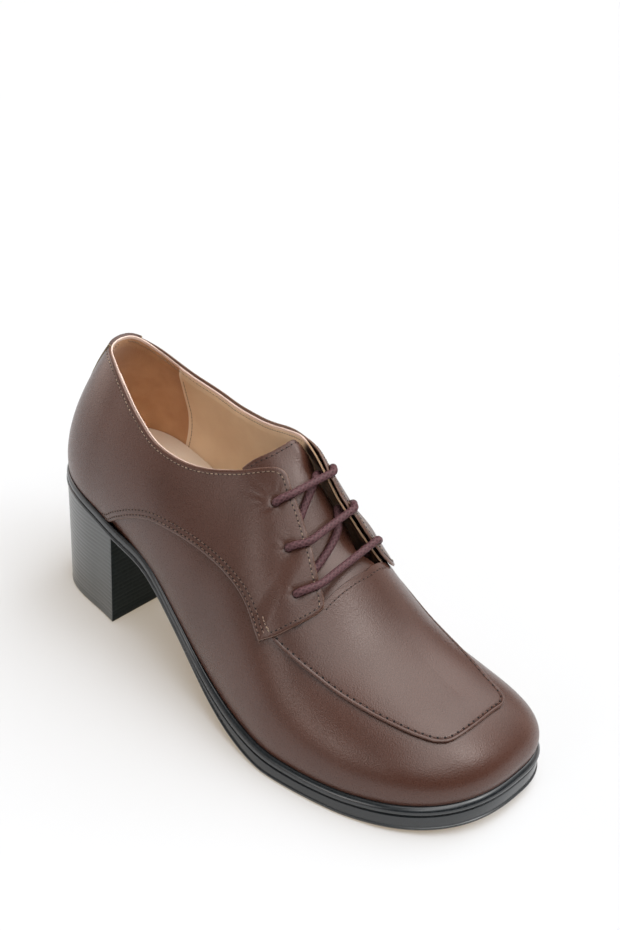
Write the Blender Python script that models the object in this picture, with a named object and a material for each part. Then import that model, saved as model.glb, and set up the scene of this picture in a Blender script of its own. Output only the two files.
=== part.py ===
# Right shoe of a pair: a block-heel lace-up derby with an apron toe.
# Lengths are in millimetres and become metres when the meshes are made.
# While it is being shaped, x runs from the heel back to the toe,
# -y is the lateral (outer) side, +y the medial (inner) side, z is up.

import math

import bpy
import numpy as np

MM = 0.001
LATERAL = -1.0
MEDIAL = 1.0

# Ends of the last, and how its plan and its top line close there
LAST_BACK = 10.3
LAST_TOE = 233.7
HEEL_ROUND = 29.0
HEEL_POWER = 2.3
TOE_ROUND = 46.0
TOE_POWER = 2.6
HEEL_LEAN = 28.0
TOE_LEAN = 24.0
FAN_LENGTH = 60.0
END_BLEND = 0.02
BULGE_UNIT = 6.75

# The last: one row per section. Half widths are from the centre line;
# feather is the bottom edge of the upper, ridge the top of the section.
LAST = {
    "columns": ("x", "centre", "lateral", "medial", "feather", "ridge",
                "ridge_y", "fullness", "bulge"),
    "rows": (
        (0.0, 1.0, 27.0, 25.5, 58.2, 133.0, 1.0, 1.36, 3.4),
        (15.0, 1.0, 27.0, 25.5, 57.6, 133.0, 1.0, 1.36, 3.4),
        (30.0, 1.0, 27.2, 25.5, 55.6, 133.0, 1.0, 1.37, 3.6),
        (42.0, 1.0, 28.3, 25.3, 53.4, 132.3, 1.0, 1.41, 4.0),
        (55.0, 1.0, 29.8, 25.0, 50.3, 131.0, 1.0, 1.48, 4.4),
        (80.0, 0.5, 32.5, 23.5, 43.0, 126.0, 1.0, 1.62, 4.0),
        (100.0, 0.0, 35.0, 24.0, 29.0, 118.0, 1.5, 1.70, 3.5),
        (112.0, 0.0, 37.0, 25.0, 20.5, 112.0, 1.8, 1.75, 3.2),
        (127.0, 0.0, 40.3, 27.5, 13.5, 102.5, 2.0, 1.80, 3.0),
        (142.0, 0.0, 43.6, 31.0, 9.5, 86.5, 2.0, 1.85, 3.0),
        (158.0, 0.3, 46.4, 34.0, 7.6, 68.0, 1.5, 1.90, 3.0),
        (173.0, 1.0, 46.3, 34.5, 7.0, 54.5, 1.0, 2.00, 3.0),
        (188.0, 2.3, 45.2, 33.5, 7.2, 45.5, 0.5, 2.15, 2.8),
        (203.0, 4.5, 44.0, 31.5, 8.3, 39.5, 0.0, 2.30, 2.3),
        (220.0, 7.0, 43.5, 30.0, 10.6, 35.5, 0.0, 2.40, 2.2),
        (234.0, 7.5, 42.5, 31.0, 13.5, 33.5, 0.0, 2.40, 2.2)),
}

# Edges on the last, as the share of the wall from feather (0) to ridge (1)
TOPLINE = {
    "columns": ("x", "lateral", "medial"),
    "rows": (
        (10.0, 0.628, 0.628), (17.0, 0.622, 0.580), (26.0, 0.611, 0.538),
        (35.0, 0.587, 0.504), (44.0, 0.555, 0.484), (59.0, 0.503, 0.472),
        (73.0, 0.472, 0.474), (86.0, 0.496, 0.525), (96.5, 0.549, 0.602),
        (105.0, 0.611, 0.685),
        (111.5, 0.671, 0.757), (117.5, 0.744, 0.832), (121.5, 0.795, 0.875),
        (125.0, 0.815, 0.900), (129.0, 0.797, 0.922), (136.0, 0.781, 0.935),
        (144.0, 0.753, 0.922), (151.0, 0.721, 0.865), (155.0, 0.708, 0.790),
        (158.0, 0.690, 0.700)),
}
QUARTER_LOW = {
    "columns": ("x", "lateral", "medial"),
    "rows": (
        (10.0, 0.0, 0.0), (46.0, 0.0, 0.0), (49.0, 0.0, 0.0),
        (53.0, 0.050, 0.050), (57.0, 0.100, 0.100), (64.3, 0.160, 0.160),
        (74.0, 0.219, 0.219), (87.5, 0.283, 0.283), (104.0, 0.347, 0.347),
        (120.8, 0.388, 0.388), (133.4, 0.397, 0.400), (142.5, 0.379, 0.395),
        (145.5, 0.386, 0.405), (150.7, 0.470, 0.485), (154.0, 0.545, 0.555),
        (156.4, 0.612, 0.615), (157.5, 0.645, 0.650), (158.0, 0.668, 0.675)),
}
APRON_LOW = {
    "columns": ("x", "lateral", "medial"),
    "rows": (
        (145.0, 0.415, 0.460), (149.0, 0.425, 0.470), (157.0, 0.452, 0.495),
        (167.4, 0.489, 0.525), (179.3, 0.511, 0.560), (191.0, 0.539, 0.605),
        (202.8, 0.557, 0.670), (213.4, 0.557, 0.710), (220.8, 0.562, 0.715),
        (224.2, 0.585, 0.705), (227.5, 0.640, 0.700), (231.0, 0.700, 0.715),
        (233.7, 0.747, 0.747)),
}
TONGUE_EDGE = {
    "columns": ("x", "lateral", "medial"),
    "rows": (
        (106.0, 0.660, 0.720), (112.0, 0.640, 0.720), (122.0, 0.610, 0.720),
        (144.0, 0.600, 0.740), (149.0, 0.670, 0.800), (152.0, 0.740, 0.885),
        (156.0, 0.735, 0.820), (159.0, 0.750, 0.780), (162.5, 0.785, 0.790)),
}

# Layers, as distances out from the last
UPPER_INNER = -0.5
UPPER_OUTER = 1.3
QUARTER_INNER = 1.6
QUARTER_OUTER = 2.8
APRON_INNER = 1.6
APRON_OUTER = 2.7
TONGUE_THICK = 1.2
TONGUE_DEEP = -4.3
TONGUE_FLUSH = 0.6
TAB_THICK = 1.0
GAP = 0.3

# The quarters rise over the apron between these two sections
TAB_RISE = 1.5
TAB_RISE_FROM = 138.0
TAB_RISE_TO = 146.0
QUARTER_END = 158.0

# The facings stand off the tongue toward their edge
FLARE = {LATERAL: 0.6, MEDIAL: 1.5}
FLARE_SHARE = 0.12
FLARE_FROM = (116.0, 126.0)
FLARE_TO = (150.0, 158.0)

# The throat of the upper, hidden under quarters and apron
THROAT_FROM = 157.0
THROAT_FRONT = 166.0
THROAT_INSET = 0.012
FACING_FROM = 121.5
FACING_BLEND = 4.0

# The apron: wings run back under the quarters beside its rear edge
APRON_BACK = 145.0
APRON_REAR = {
    "columns": ("x", "top"),
    "rows": ((145.0, 0.53), (151.0, 0.53), (156.6, 0.73), (157.0, 0.80),
             (157.4, 0.87), (157.8, 0.94), (158.2, 1.0), (159.0, 1.0)),
}

# The tongue: dives under the facings behind its seam with the apron
TONGUE_TOP = 108.5
TONGUE_SLANT = 12.0
TONGUE_SLANT_LENGTH = 30.0
TONGUE_FRONT = 162.5
TONGUE_DIVE_FROM = 151.5
TONGUE_DIVE_TO = 158.0

# Back tab, folded over the collar
BACK_TAB_HALF = 8.5
BACK_TAB_LOW = 0.30
BACK_TAB_INSIDE = 0.609
BACK_TAB_FOLD_INNER = 0.004
BACK_TAB_FOLD_OUTER = 0.015
BACK_TAB_FOLD_ROUND = 0.7
BACK_SEAM = 0.0008

# Insole
INSOLE_THICK = 2.5
INSOLE_INSET = -0.9

# Sole edge: one row per section; edge is its height below the feather,
# rim where the bead starts outside the feather, scale the bead size.
SOLE = {
    "columns": ("x", "edge", "rim", "scale"),
    "rows": (
        (0.0, 5.2, 3.1, 0.45), (30.0, 5.2, 3.1, 0.45), (55.0, 5.0, 3.1, 0.45),
        (62.0, 4.8, 2.4, 0.5), (70.0, 4.5, 1.6, 0.55), (86.0, 4.0, 1.6, 0.6),
        (98.0, 3.9, 1.6, 0.65), (112.0, 4.6, 1.6, 0.75), (127.0, 6.0, 1.6, 0.9),
        (142.0, 7.0, 1.6, 1.0), (158.0, 7.5, 1.6, 1.0), (173.0, 7.3, 1.6, 1.0),
        (188.0, 7.4, 1.6, 1.0), (203.0, 7.8, 1.6, 1.0), (220.0, 8.4, 1.6, 1.0),
        (234.0, 8.9, 1.6, 1.0)),
}
# Profile of the sole edge from the bead down to the tread: how far out from
# the rim, share of the way from feather to tread, and height added to that
SOLE_PROFILE = {
    "columns": ("out", "share", "lift"),
    "rows": (
        (0.0, 0.0, -0.3), (0.3, 0.0, 0.6), (1.0, 0.0, 1.1), (1.8, 0.0, 0.6),
        (2.1, 0.0, -0.5), (1.4, 0.0, -1.5), (1.4, 0.0, -2.0), (2.1, 0.0, -2.5),
        (2.2, 1.0, 1.5), (2.7, 1.0, 1.1), (2.6, 1.0, 0.3), (1.9, 1.0, 0.0)),
}

# Heel block and top lift, offsets out from the feather outline
HEEL_BREAST = 52.0
HEEL_TOP_OUT = 3.9
HEEL_FOOT_OUT = 2.6
HEEL_BREAST_TUCK = 2.0
HEEL_FOOT_WAIST = 1.8
LIFT_HEIGHT = 3.4
LIFT_OUT = 2.7
LIFT_CHAMFER = 0.5

# Lacing: three pairs of eyelets, a bar across each, a crossing between
EYELETS = {
    "columns": ("lateral_x", "lateral", "medial_x", "medial"),
    "rows": ((148.3, 0.607, 152.0, 0.755), (138.4, 0.662, 142.6, 0.800),
             (127.5, 0.703, 131.6, 0.800)),
}
EYELET_RADIUS = 2.2
EYELET_SIDES = 12
LACE_RADIUS = 1.5
LACE_UNDER = -2.4
LACE_BEND_NEAR = 0.6
LACE_BEND_FAR = 2.2
LACE_DIP = 0.5
LACE_CREST = 1.0
LACE_CLEAR = 0.55
LACE_END = 5.0
CUTTER_REACH = 2.0
WALL_LENGTH = 75.0

# How finely the surfaces are cut
STATION_COUNT = 32
MIN_STATION_STEP = 0.25
UPPER_STATIONS = (151.0, 154.5, 157.0, 159.0, 161.4, 163.2, 164.7, 165.7, 166.0)
QUARTER_STATIONS = (46.0, 49.0, 53.0, 57.0, 121.5, 125.0, 145.5, 147.5, 149.5,
                    152.0, 154.0, 156.4, 157.5)
APRON_STATIONS = (153.0, 154.2, 155.4, 156.6, 157.0, 157.4, 157.8, 158.2, 224.2, 227.5)
TONGUE_STATIONS = (149.0, 152.0, 154.0, 156.0, 158.0)
UPPER_LOW_ROWS = 5
UPPER_TOP_ROWS = 4
UPPER_KNEE = 0.42
QUARTER_ROWS = 7
APRON_ROWS = 7
TONGUE_ROWS = 12
BACK_TAB_ROWS = 6
BACK_TAB_COLUMNS = 6
CAP_STEPS = 2
BAR_STEPS = 3
CROSSING_STEPS = 6
SLOPE_STEP = 0.5
NORMAL_STEP = 0.001
FOOT_FLATTEN = 0.12

MATERIALS = {
    "upper": ("brown_leather", (0.075, 0.030, 0.022), 0.42),
    "quarter_lateral": ("brown_leather", (0.075, 0.030, 0.022), 0.42),
    "quarter_medial": ("brown_leather", (0.075, 0.030, 0.022), 0.42),
    "apron": ("brown_leather", (0.075, 0.030, 0.022), 0.42),
    "tongue": ("brown_leather", (0.075, 0.030, 0.022), 0.42),
    "back_tab": ("brown_leather", (0.075, 0.030, 0.022), 0.42),
    "insole": ("sock_leather", (0.55, 0.38, 0.26), 0.65),
    "outsole": ("black_rubber", (0.012, 0.012, 0.013), 0.38),
    "heel": ("black_stacked_heel", (0.015, 0.015, 0.017), 0.45),
    "top_lift": ("black_rubber", (0.012, 0.012, 0.013), 0.38),
    "lace": ("waxed_cord", (0.11, 0.060, 0.058), 0.55),
}


def column(table, name, x):
    """Smooth curve through one column of a table, at x."""
    place = table["columns"].index(name)
    knots = np.array([row[0] for row in table["rows"]], dtype=float)
    values = np.array([row[place] for row in table["rows"]], dtype=float)
    x = np.asarray(x, dtype=float)
    steps = np.diff(knots)
    rates = np.diff(values) / steps
    slopes = np.empty_like(values)
    slopes[0] = rates[0]
    slopes[-1] = rates[-1]
    slopes[1:-1] = ((rates[:-1] * steps[1:] + rates[1:] * steps[:-1])
                    / (steps[1:] + steps[:-1]))
    spot = np.clip(np.searchsorted(knots, x) - 1, 0, len(knots) - 2)
    u = np.clip((x - knots[spot]) / steps[spot], 0.0, 1.0)
    return ((2 * u**3 - 3 * u**2 + 1) * values[spot]
            + (u**3 - 2 * u**2 + u) * steps[spot] * slopes[spot]
            + (3 * u**2 - 2 * u**3) * values[spot + 1]
            + (u**3 - u**2) * steps[spot] * slopes[spot + 1])


def side_column(table, side, x):
    lateral = column(table, "lateral", x)
    medial = column(table, "medial", x)
    return np.where(np.asarray(side) < 0, lateral, medial)


def smooth(value):
    value = np.clip(value, 0.0, 1.0)
    return value * value * (3.0 - 2.0 * value)


def station_turn(x):
    """Section position as a turn from heel back (0) to toe tip (1)."""
    share = (np.asarray(x, dtype=float) - LAST_BACK) / (LAST_TOE - LAST_BACK)
    return np.arccos(np.clip(1.0 - 2.0 * share, -1.0, 1.0)) / math.pi


def turn_station(turn):
    share = (1.0 - np.cos(math.pi * np.asarray(turn, dtype=float))) / 2.0
    return LAST_BACK + (LAST_TOE - LAST_BACK) * share


def fold(turn, side, share):
    """Carry a place past the heel back, toe tip or ridge to the other side."""
    turn, side, share = np.broadcast_arrays(
        np.asarray(turn, dtype=float), np.asarray(side, dtype=float),
        np.asarray(share, dtype=float))
    side = np.where(turn < 0.0, -side, side)
    turn = np.abs(turn)
    side = np.where(turn > 1.0, -side, side)
    turn = np.where(turn > 1.0, 2.0 - turn, turn)
    side = np.where(share > 1.0, -side, side)
    share = np.where(share > 1.0, 2.0 - share, share)
    return turn, side, np.maximum(share, 0.0)


def feather_plan(turn, side):
    turn, side, share = fold(turn, side, 0.0)
    x = turn_station(turn)
    heel = np.clip((LAST_BACK + HEEL_ROUND - x) / HEEL_ROUND, 0.0, 1.0)
    toe = np.clip((x - LAST_TOE + TOE_ROUND) / TOE_ROUND, 0.0, 1.0)
    closing = ((1.0 - heel**HEEL_POWER) ** (1.0 / HEEL_POWER)
               * (1.0 - toe**TOE_POWER) ** (1.0 / TOE_POWER))
    width = side_column(LAST, side, x) * closing
    return x, column(LAST, "centre", x) + side * width


def skin(turn, side, share):
    """Point on the last: a section wall from its feather to its ridge."""
    turn, side, share = fold(turn, side, share)
    x, foot_y = feather_plan(turn, side)
    foot_z = column(LAST, "feather", x)
    toe = np.clip((x - LAST_TOE + FAN_LENGTH) / FAN_LENGTH, 0.0, 1.0)
    heel = np.clip((LAST_BACK + FAN_LENGTH - x) / FAN_LENGTH, 0.0, 1.0)
    top_x = x - TOE_LEAN * toe**2 + HEEL_LEAN * heel**2
    top_y = column(LAST, "ridge_y", top_x)
    top_z = column(LAST, "ridge", top_x)
    slope = (column(LAST, "ridge", top_x + SLOPE_STEP)
             - column(LAST, "ridge", top_x - SLOPE_STEP)) / (2 * SLOPE_STEP)
    power = 2.0 / column(LAST, "fullness", x)
    climb = np.sin(share * math.pi / 2.0) ** power
    inward = 1.0 - np.cos(share * math.pi / 2.0) ** power
    out_x = x - top_x
    out_y = foot_y - top_y
    reach = np.maximum(np.hypot(out_x, out_y), 1e-9)
    bulge = column(LAST, "bulge", x) * BULGE_UNIT * climb * (1.0 - climb) ** 2
    place_x = x - out_x * inward + out_x / reach * bulge
    place_y = foot_y - out_y * inward + out_y / reach * bulge
    place_z = (foot_z + (top_z - foot_z) * climb
               + slope * toe**2 * (place_x - top_x) * climb**3)
    return np.stack([place_x, place_y, place_z], axis=-1)


def raw_normal(turn, side, share):
    along = (skin(turn + NORMAL_STEP, side, share)
             - skin(turn - NORMAL_STEP, side, share))
    below = np.maximum(share - NORMAL_STEP, 0.0)
    upward = skin(turn, side, share + NORMAL_STEP) - skin(turn, side, below)
    out = np.cross(along, upward) * (-side)[..., None]
    out[..., 2] *= np.clip(share / FOOT_FLATTEN, 0.0, 1.0)
    return out / np.maximum(np.linalg.norm(out, axis=-1, keepdims=True), 1e-12)


def skin_normal(turn, side, share):
    turn, side, share = fold(turn, side, share)
    inside = np.clip(turn, END_BLEND, 1.0 - END_BLEND)
    own = raw_normal(inside, side, share)
    other = raw_normal(inside, -side, share)
    keep = 1.0 - np.abs(turn - inside)[..., None] / END_BLEND
    out = own * (1.0 + keep) / 2.0 + other * (1.0 - keep) / 2.0
    return out / np.linalg.norm(out, axis=-1, keepdims=True)


def on_last(x, side, share, out):
    """Points at section x, share of the wall and distance out of the last."""
    turn = station_turn(x)
    turn, side, share, out = np.broadcast_arrays(
        turn, np.asarray(side, dtype=float), np.asarray(share, dtype=float),
        np.asarray(out, dtype=float))
    return skin(turn, side, share) + skin_normal(turn, side, share) * out[..., None]


def sole_ring(x, side, out):
    """Feather outline in plan, moved outward."""
    turn = station_turn(x)
    here = np.stack(feather_plan(turn, side), axis=-1)
    inside = np.clip(turn, END_BLEND, 1.0 - END_BLEND)
    ahead = np.stack(feather_plan(inside + NORMAL_STEP, side), axis=-1)
    behind = np.stack(feather_plan(inside - NORMAL_STEP, side), axis=-1)
    run = ahead - behind
    normal = np.stack([-run[..., 1], run[..., 0]], axis=-1)
    normal *= np.asarray(side, dtype=float)[..., None]
    normal[..., 1] *= 1.0 - np.abs(turn - inside) / END_BLEND
    normal /= np.linalg.norm(normal, axis=-1, keepdims=True)
    return here + normal * np.asarray(out, dtype=float)[..., None]


def stations(first, last, extra=()):
    """Section positions between two places, both ends included."""
    even = turn_station(np.linspace(0.0, 1.0, STATION_COUNT))
    kept = [first]
    for x in sorted(list(even) + list(extra)):
        if x > kept[-1] + MIN_STATION_STEP and x < last - MIN_STATION_STEP:
            kept.append(x)
    kept.append(last)
    return np.array(kept)


class Solid:
    """Collects points and faces; equal points of one layer are one vertex."""

    def __init__(self):
        self.points = []
        self.faces = []
        self.known = {}

    def vertex(self, point, layer):
        key = (layer,) + tuple(int(round(value * 1000.0)) for value in point)
        if key not in self.known:
            self.known[key] = len(self.points)
            self.points.append(tuple(float(value) for value in point))
        return self.known[key]

    def face(self, corners):
        """Add a face; four corners are split along the shorter diagonal."""
        kept = []
        for corner in corners:
            if corner not in kept:
                kept.append(corner)
        if len(kept) == 4:
            a, b, c, d = (self.points[corner] for corner in kept)
            if math.dist(b, d) < math.dist(a, c):
                kept = kept[1:] + kept[:1]
            self.faces.append((kept[0], kept[1], kept[2]))
            self.faces.append((kept[0], kept[2], kept[3]))
        elif len(kept) > 2:
            self.faces.append(tuple(kept))

    def sheet(self, grid, layer, flip):
        """Quads over a grid of points; returns the vertex numbers."""
        rows, columns = grid.shape[:2]
        numbers = [[self.vertex(grid[i, j], layer) for j in range(columns)]
                   for i in range(rows)]
        for i in range(rows - 1):
            for j in range(columns - 1):
                quad = (numbers[i][j], numbers[i + 1][j],
                        numbers[i + 1][j + 1], numbers[i][j + 1])
                self.face(quad[::-1] if flip else quad)
        return numbers


def shell(patches):
    """Closed wall between outer and inner grids; open edges get a rim."""
    solid = Solid()
    partner = {}
    outer_faces = []
    for outer, inner, flip in patches:
        start = len(solid.faces)
        numbers = solid.sheet(outer, "outer", flip)
        outer_faces.extend(solid.faces[start:])
        below = solid.sheet(inner, "inner", not flip)
        for row, row_below in zip(numbers, below):
            partner.update(zip(row, row_below))
    runs = set()
    for face in outer_faces:
        runs.update(zip(face, face[1:] + face[:1]))
    for a, b in sorted(runs):
        if (b, a) not in runs:
            solid.face((b, a, partner[a], partner[b]))
    return solid


def wall_patch(x, side, heights, inner, outer):
    """Part of the wall over a grid of heights, as an outer and an inner grid."""
    across = np.broadcast_to(x, heights.shape)
    sides = np.full(heights.shape, side)
    out = np.broadcast_to(outer, heights.shape)
    deep = np.broadcast_to(inner, heights.shape)
    return (on_last(across, sides, heights, out),
            on_last(across, sides, heights, deep), side > 0)


def rows_between(low, high, rows):
    share = np.linspace(0.0, 1.0, rows + 1)[None, :]
    return low[:, None] + (high - low)[:, None] * share


def topline(x, side):
    return side_column(TOPLINE, side, x)


def upper_edge(x, side):
    """Collar, facing and throat edge of the hollow upper."""
    edge = topline(np.minimum(x, THROAT_FROM), side)
    edge = edge - THROAT_INSET * smooth((x - FACING_FROM) / FACING_BLEND)
    turn = np.clip((x - THROAT_FROM) / (THROAT_FRONT - THROAT_FROM), 0.0, 1.0)
    return 1.0 - (1.0 - edge) * np.sqrt(1.0 - turn**2)


def quarter_rise(x):
    return TAB_RISE * smooth((x - TAB_RISE_FROM) / (TAB_RISE_TO - TAB_RISE_FROM))


def facing_flare(x, side, share):
    """How far the facing stands off the last beyond the quarter's own place."""
    start, full = FLARE_FROM
    leave, end = FLARE_TO
    along = smooth((x - start) / (full - start)) * smooth((end - x) / (end - leave))
    edge = topline(x, side)
    return FLARE[side] * along * smooth(1.0 - (edge - share) / FLARE_SHARE)


def make_upper():
    x = stations(LAST_BACK, LAST_TOE, UPPER_STATIONS)
    patches = []
    for side in (LATERAL, MEDIAL):
        knee = np.full_like(x, UPPER_KNEE)
        low = rows_between(np.zeros_like(x), knee, UPPER_LOW_ROWS)
        top = rows_between(knee, upper_edge(x, side), UPPER_TOP_ROWS)
        heights = np.concatenate([low, top[:, 1:]], axis=1)
        patches.append(wall_patch(x[:, None], side, heights, UPPER_INNER, UPPER_OUTER))
    return shell(patches)


def make_quarter(side):
    x = stations(LAST_BACK + BACK_SEAM, QUARTER_END, QUARTER_STATIONS)
    low = np.maximum(side_column(QUARTER_LOW, side, x), 0.0)
    heights = rows_between(low, topline(x, side), QUARTER_ROWS)
    rise = quarter_rise(x)[:, None] + facing_flare(x[:, None], side, heights)
    return shell([wall_patch(x[:, None], side, heights, QUARTER_INNER + rise,
                             QUARTER_OUTER + rise)])


def make_apron():
    x = stations(APRON_BACK, LAST_TOE, APRON_STATIONS)
    patches = []
    for side in (LATERAL, MEDIAL):
        low = side_column(APRON_LOW, side, x)
        high = np.minimum(column(APRON_REAR, "top", x), 1.0)
        heights = rows_between(low, high, APRON_ROWS)
        patches.append(wall_patch(x[:, None], side, heights, APRON_INNER, APRON_OUTER))
    return shell(patches)


def make_tongue():
    x = stations(TONGUE_TOP, TONGUE_FRONT, TONGUE_STATIONS)
    heights = rows_between(column(TONGUE_EDGE, "lateral", x),
                           2.0 - column(TONGUE_EDGE, "medial", x), TONGUE_ROWS)
    dive = smooth((x - TONGUE_DIVE_FROM) / (TONGUE_DIVE_TO - TONGUE_DIVE_FROM))
    outer = (TONGUE_DEEP + (TONGUE_FLUSH - TONGUE_DEEP) * dive)[:, None]
    across = np.linspace(0.0, 1.0, TONGUE_ROWS + 1)[None, :]
    slant = TONGUE_SLANT * (1.0 - smooth((x - TONGUE_TOP) / TONGUE_SLANT_LENGTH))
    x = x[:, None] + slant[:, None] * across
    return shell([wall_patch(x, LATERAL, heights, outer - TONGUE_THICK, outer)])


def make_back_tab():
    """Strip over the back seam, folded over the collar to the inside."""
    top = float(topline(LAST_BACK, LATERAL))
    over = QUARTER_OUTER + GAP
    under = UPPER_INNER - GAP
    middle = (over + under) / 2.0
    turn_in = BACK_TAB_FOLD_ROUND
    outside = np.linspace(BACK_TAB_LOW, top, BACK_TAB_ROWS)
    inside = np.linspace(top, BACK_TAB_INSIDE, BACK_TAB_ROWS // 2)
    sheets = []
    for thick, lip in ((TAB_THICK, BACK_TAB_FOLD_OUTER), (0.0, BACK_TAB_FOLD_INNER)):
        share = np.concatenate([outside, [top + lip * turn_in, top + lip, top + lip * turn_in],
                                inside])
        out = np.concatenate([np.full(len(outside), over + thick),
                              [over + thick * turn_in, middle, under - thick * turn_in],
                              np.full(len(inside), under - thick)])
        centre = skin(np.zeros_like(share), LATERAL, share)[:, 1]
        probe = centre - skin(np.full_like(share, END_BLEND), LATERAL, share)[:, 1]
        turns = END_BLEND * BACK_TAB_HALF / probe
        across = np.linspace(1.0, -1.0, BACK_TAB_COLUMNS + 1)
        turn = -across[:, None] * turns[None, :]
        at_top = turn[:, len(outside) - 1]
        way = np.where(at_top > 0.0, LATERAL, MEDIAL)
        drop = topline(turn_station(np.abs(at_top)), way) - top
        follow = np.clip((share - BACK_TAB_LOW) / (top - BACK_TAB_LOW), 0.0, 1.0)
        shares = share[None, :] + drop[:, None] * follow[None, :]
        side = np.full(turn.shape, LATERAL)
        sheets.append(skin(turn, side, shares)
                      + skin_normal(turn, side, shares) * out[None, :, None])
    return shell([(sheets[0], sheets[1], False)])


def ring_solid(x, rows):
    """Closed body from plan rings stacked from the top down, with both caps."""
    solid = Solid()
    walls = {}
    for side in (LATERAL, MEDIAL):
        rings = []
        for out, height in rows:
            plan = sole_ring(x, np.full(x.shape, side), out(x))
            rings.append(np.column_stack([plan, height(x)]))
        walls[side] = np.stack(rings, axis=1)
        solid.sheet(walls[side], "side", side == LATERAL)
    share = np.linspace(0.0, 1.0, CAP_STEPS + 1)[None, :, None]
    spans = ((walls[LATERAL][:, 0], walls[MEDIAL][:, 0], False),
             (walls[LATERAL][:, -1], walls[MEDIAL][:, -1], True),
             (walls[LATERAL][0], walls[MEDIAL][0], True),
             (walls[LATERAL][-1], walls[MEDIAL][-1], False))
    for left, right, flip in spans:
        left = left[:, None]
        right = right[:, None]
        solid.sheet(left + (right - left) * share, "side", flip)
    return solid


def feather_height(x):
    return column(LAST, "feather", x)


def tread_height(x):
    return np.maximum(feather_height(x) - column(SOLE, "edge", x), 0.0)


def make_outsole():
    x = stations(LAST_BACK, LAST_TOE)
    rows = []
    for step, share, lift in SOLE_PROFILE["rows"]:
        def out(at, step=step):
            return column(SOLE, "rim", at) + step * column(SOLE, "scale", at)

        def height(at, share=share, lift=lift):
            return (feather_height(at) * (1.0 - share)
                    + tread_height(at) * share + lift)

        rows.append((out, height))
    return ring_solid(x, rows)


def make_insole():
    x = stations(LAST_BACK, LAST_TOE)

    def out(at):
        return np.full_like(at, INSOLE_INSET)

    def top(at):
        return feather_height(at) + INSOLE_THICK

    return ring_solid(x, [(out, top), (out, feather_height)])


def heel_out(at, reach, waist):
    """Heel outline: drawn in toward the breast, and at the foot along the sides."""
    share = (at - LAST_BACK) / (HEEL_BREAST - LAST_BACK)
    return reach - HEEL_BREAST_TUCK * share**2 - waist * np.sin(math.pi * share)


def make_heel():
    x = stations(LAST_BACK, HEEL_BREAST)

    def under_sole(at):
        return tread_height(at) - GAP

    def on_lift(at):
        return np.full_like(at, LIFT_HEIGHT + GAP)

    return ring_solid(x, [(lambda at: heel_out(at, HEEL_TOP_OUT, 0.0), under_sole),
                          (lambda at: heel_out(at, HEEL_FOOT_OUT, HEEL_FOOT_WAIST), on_lift)])


def make_top_lift():
    x = stations(LAST_BACK, HEEL_BREAST)

    def level(height):
        return lambda at: np.full_like(at, height)

    def edge(at):
        return heel_out(at, LIFT_OUT, HEEL_FOOT_WAIST)

    def worn_edge(at):
        return edge(at) - LIFT_CHAMFER

    return ring_solid(x, [(edge, level(LIFT_HEIGHT)), (edge, level(LIFT_CHAMFER)),
                          (worn_edge, level(0.0))])


def facing_top(x, wide):
    """Outside of the facing; wide counts on past the ridge to the medial side."""
    side = LATERAL if wide < 1.0 else MEDIAL
    share = wide if wide < 1.0 else 2.0 - wide
    x = np.array(x)
    return QUARTER_OUTER + float(quarter_rise(x) + facing_flare(x, side, share))


def lace_place(x, wide, out):
    """One point of the lace; wide counts on past the ridge to the medial side."""
    return on_last(np.array([x]), np.array([LATERAL]), np.array([wide]), np.array([out]))[0]


def lace_above(x, wide):
    """A point of the lace resting on the facing."""
    return lace_place(x, wide, facing_top(x, wide) + LACE_RADIUS + LACE_CLEAR)


def eyelet_turn(x, wide, inboard, under_way):
    """Lace points through one eyelet, from below it to above it."""
    top = facing_top(x, wide)
    near = LACE_BEND_NEAR / WALL_LENGTH
    far = LACE_BEND_FAR / WALL_LENGTH
    return [lace_place(x, wide + under_way * far, LACE_UNDER),
            lace_place(x, wide + under_way * near, LACE_UNDER + LACE_DIP),
            lace_place(x, wide, UPPER_INNER),
            lace_place(x, wide, top),
            lace_place(x, wide + inboard * near, top + LACE_CREST),
            lace_above(x, wide + inboard * far)]


def lace_bar(start, finish):
    """Points of a bar from a medial to a lateral eyelet, over both facings."""
    far = LACE_BEND_FAR / WALL_LENGTH
    start_x, start_wide = start
    finish_x, finish_wide = finish
    medial_edge = 2.0 - float(topline(start_x, MEDIAL))
    lateral_edge = float(topline(finish_x, LATERAL))
    leave = lace_above(start_x, medial_edge)
    arrive = lace_above(finish_x, lateral_edge)
    middle = [leave + (arrive - leave) * step / (BAR_STEPS + 1)
              for step in range(1, BAR_STEPS + 1)]
    return ([lace_above(start_x, (start_wide - far + medial_edge) / 2.0), leave]
            + middle
            + [arrive, lace_above(finish_x, (finish_wide + far + lateral_edge) / 2.0)])


def lace_crossing(start, finish):
    """Points under the facings and over the tongue, to the next pair."""
    far = LACE_BEND_FAR / WALL_LENGTH
    points = []
    for step in range(1, CROSSING_STEPS):
        share = step / CROSSING_STEPS
        x = start[0] + (finish[0] - start[0]) * share
        wide = start[1] + far + (finish[1] - start[1] - 2.0 * far) * share
        points.append(lace_place(x, wide, LACE_UNDER))
    return points


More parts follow.
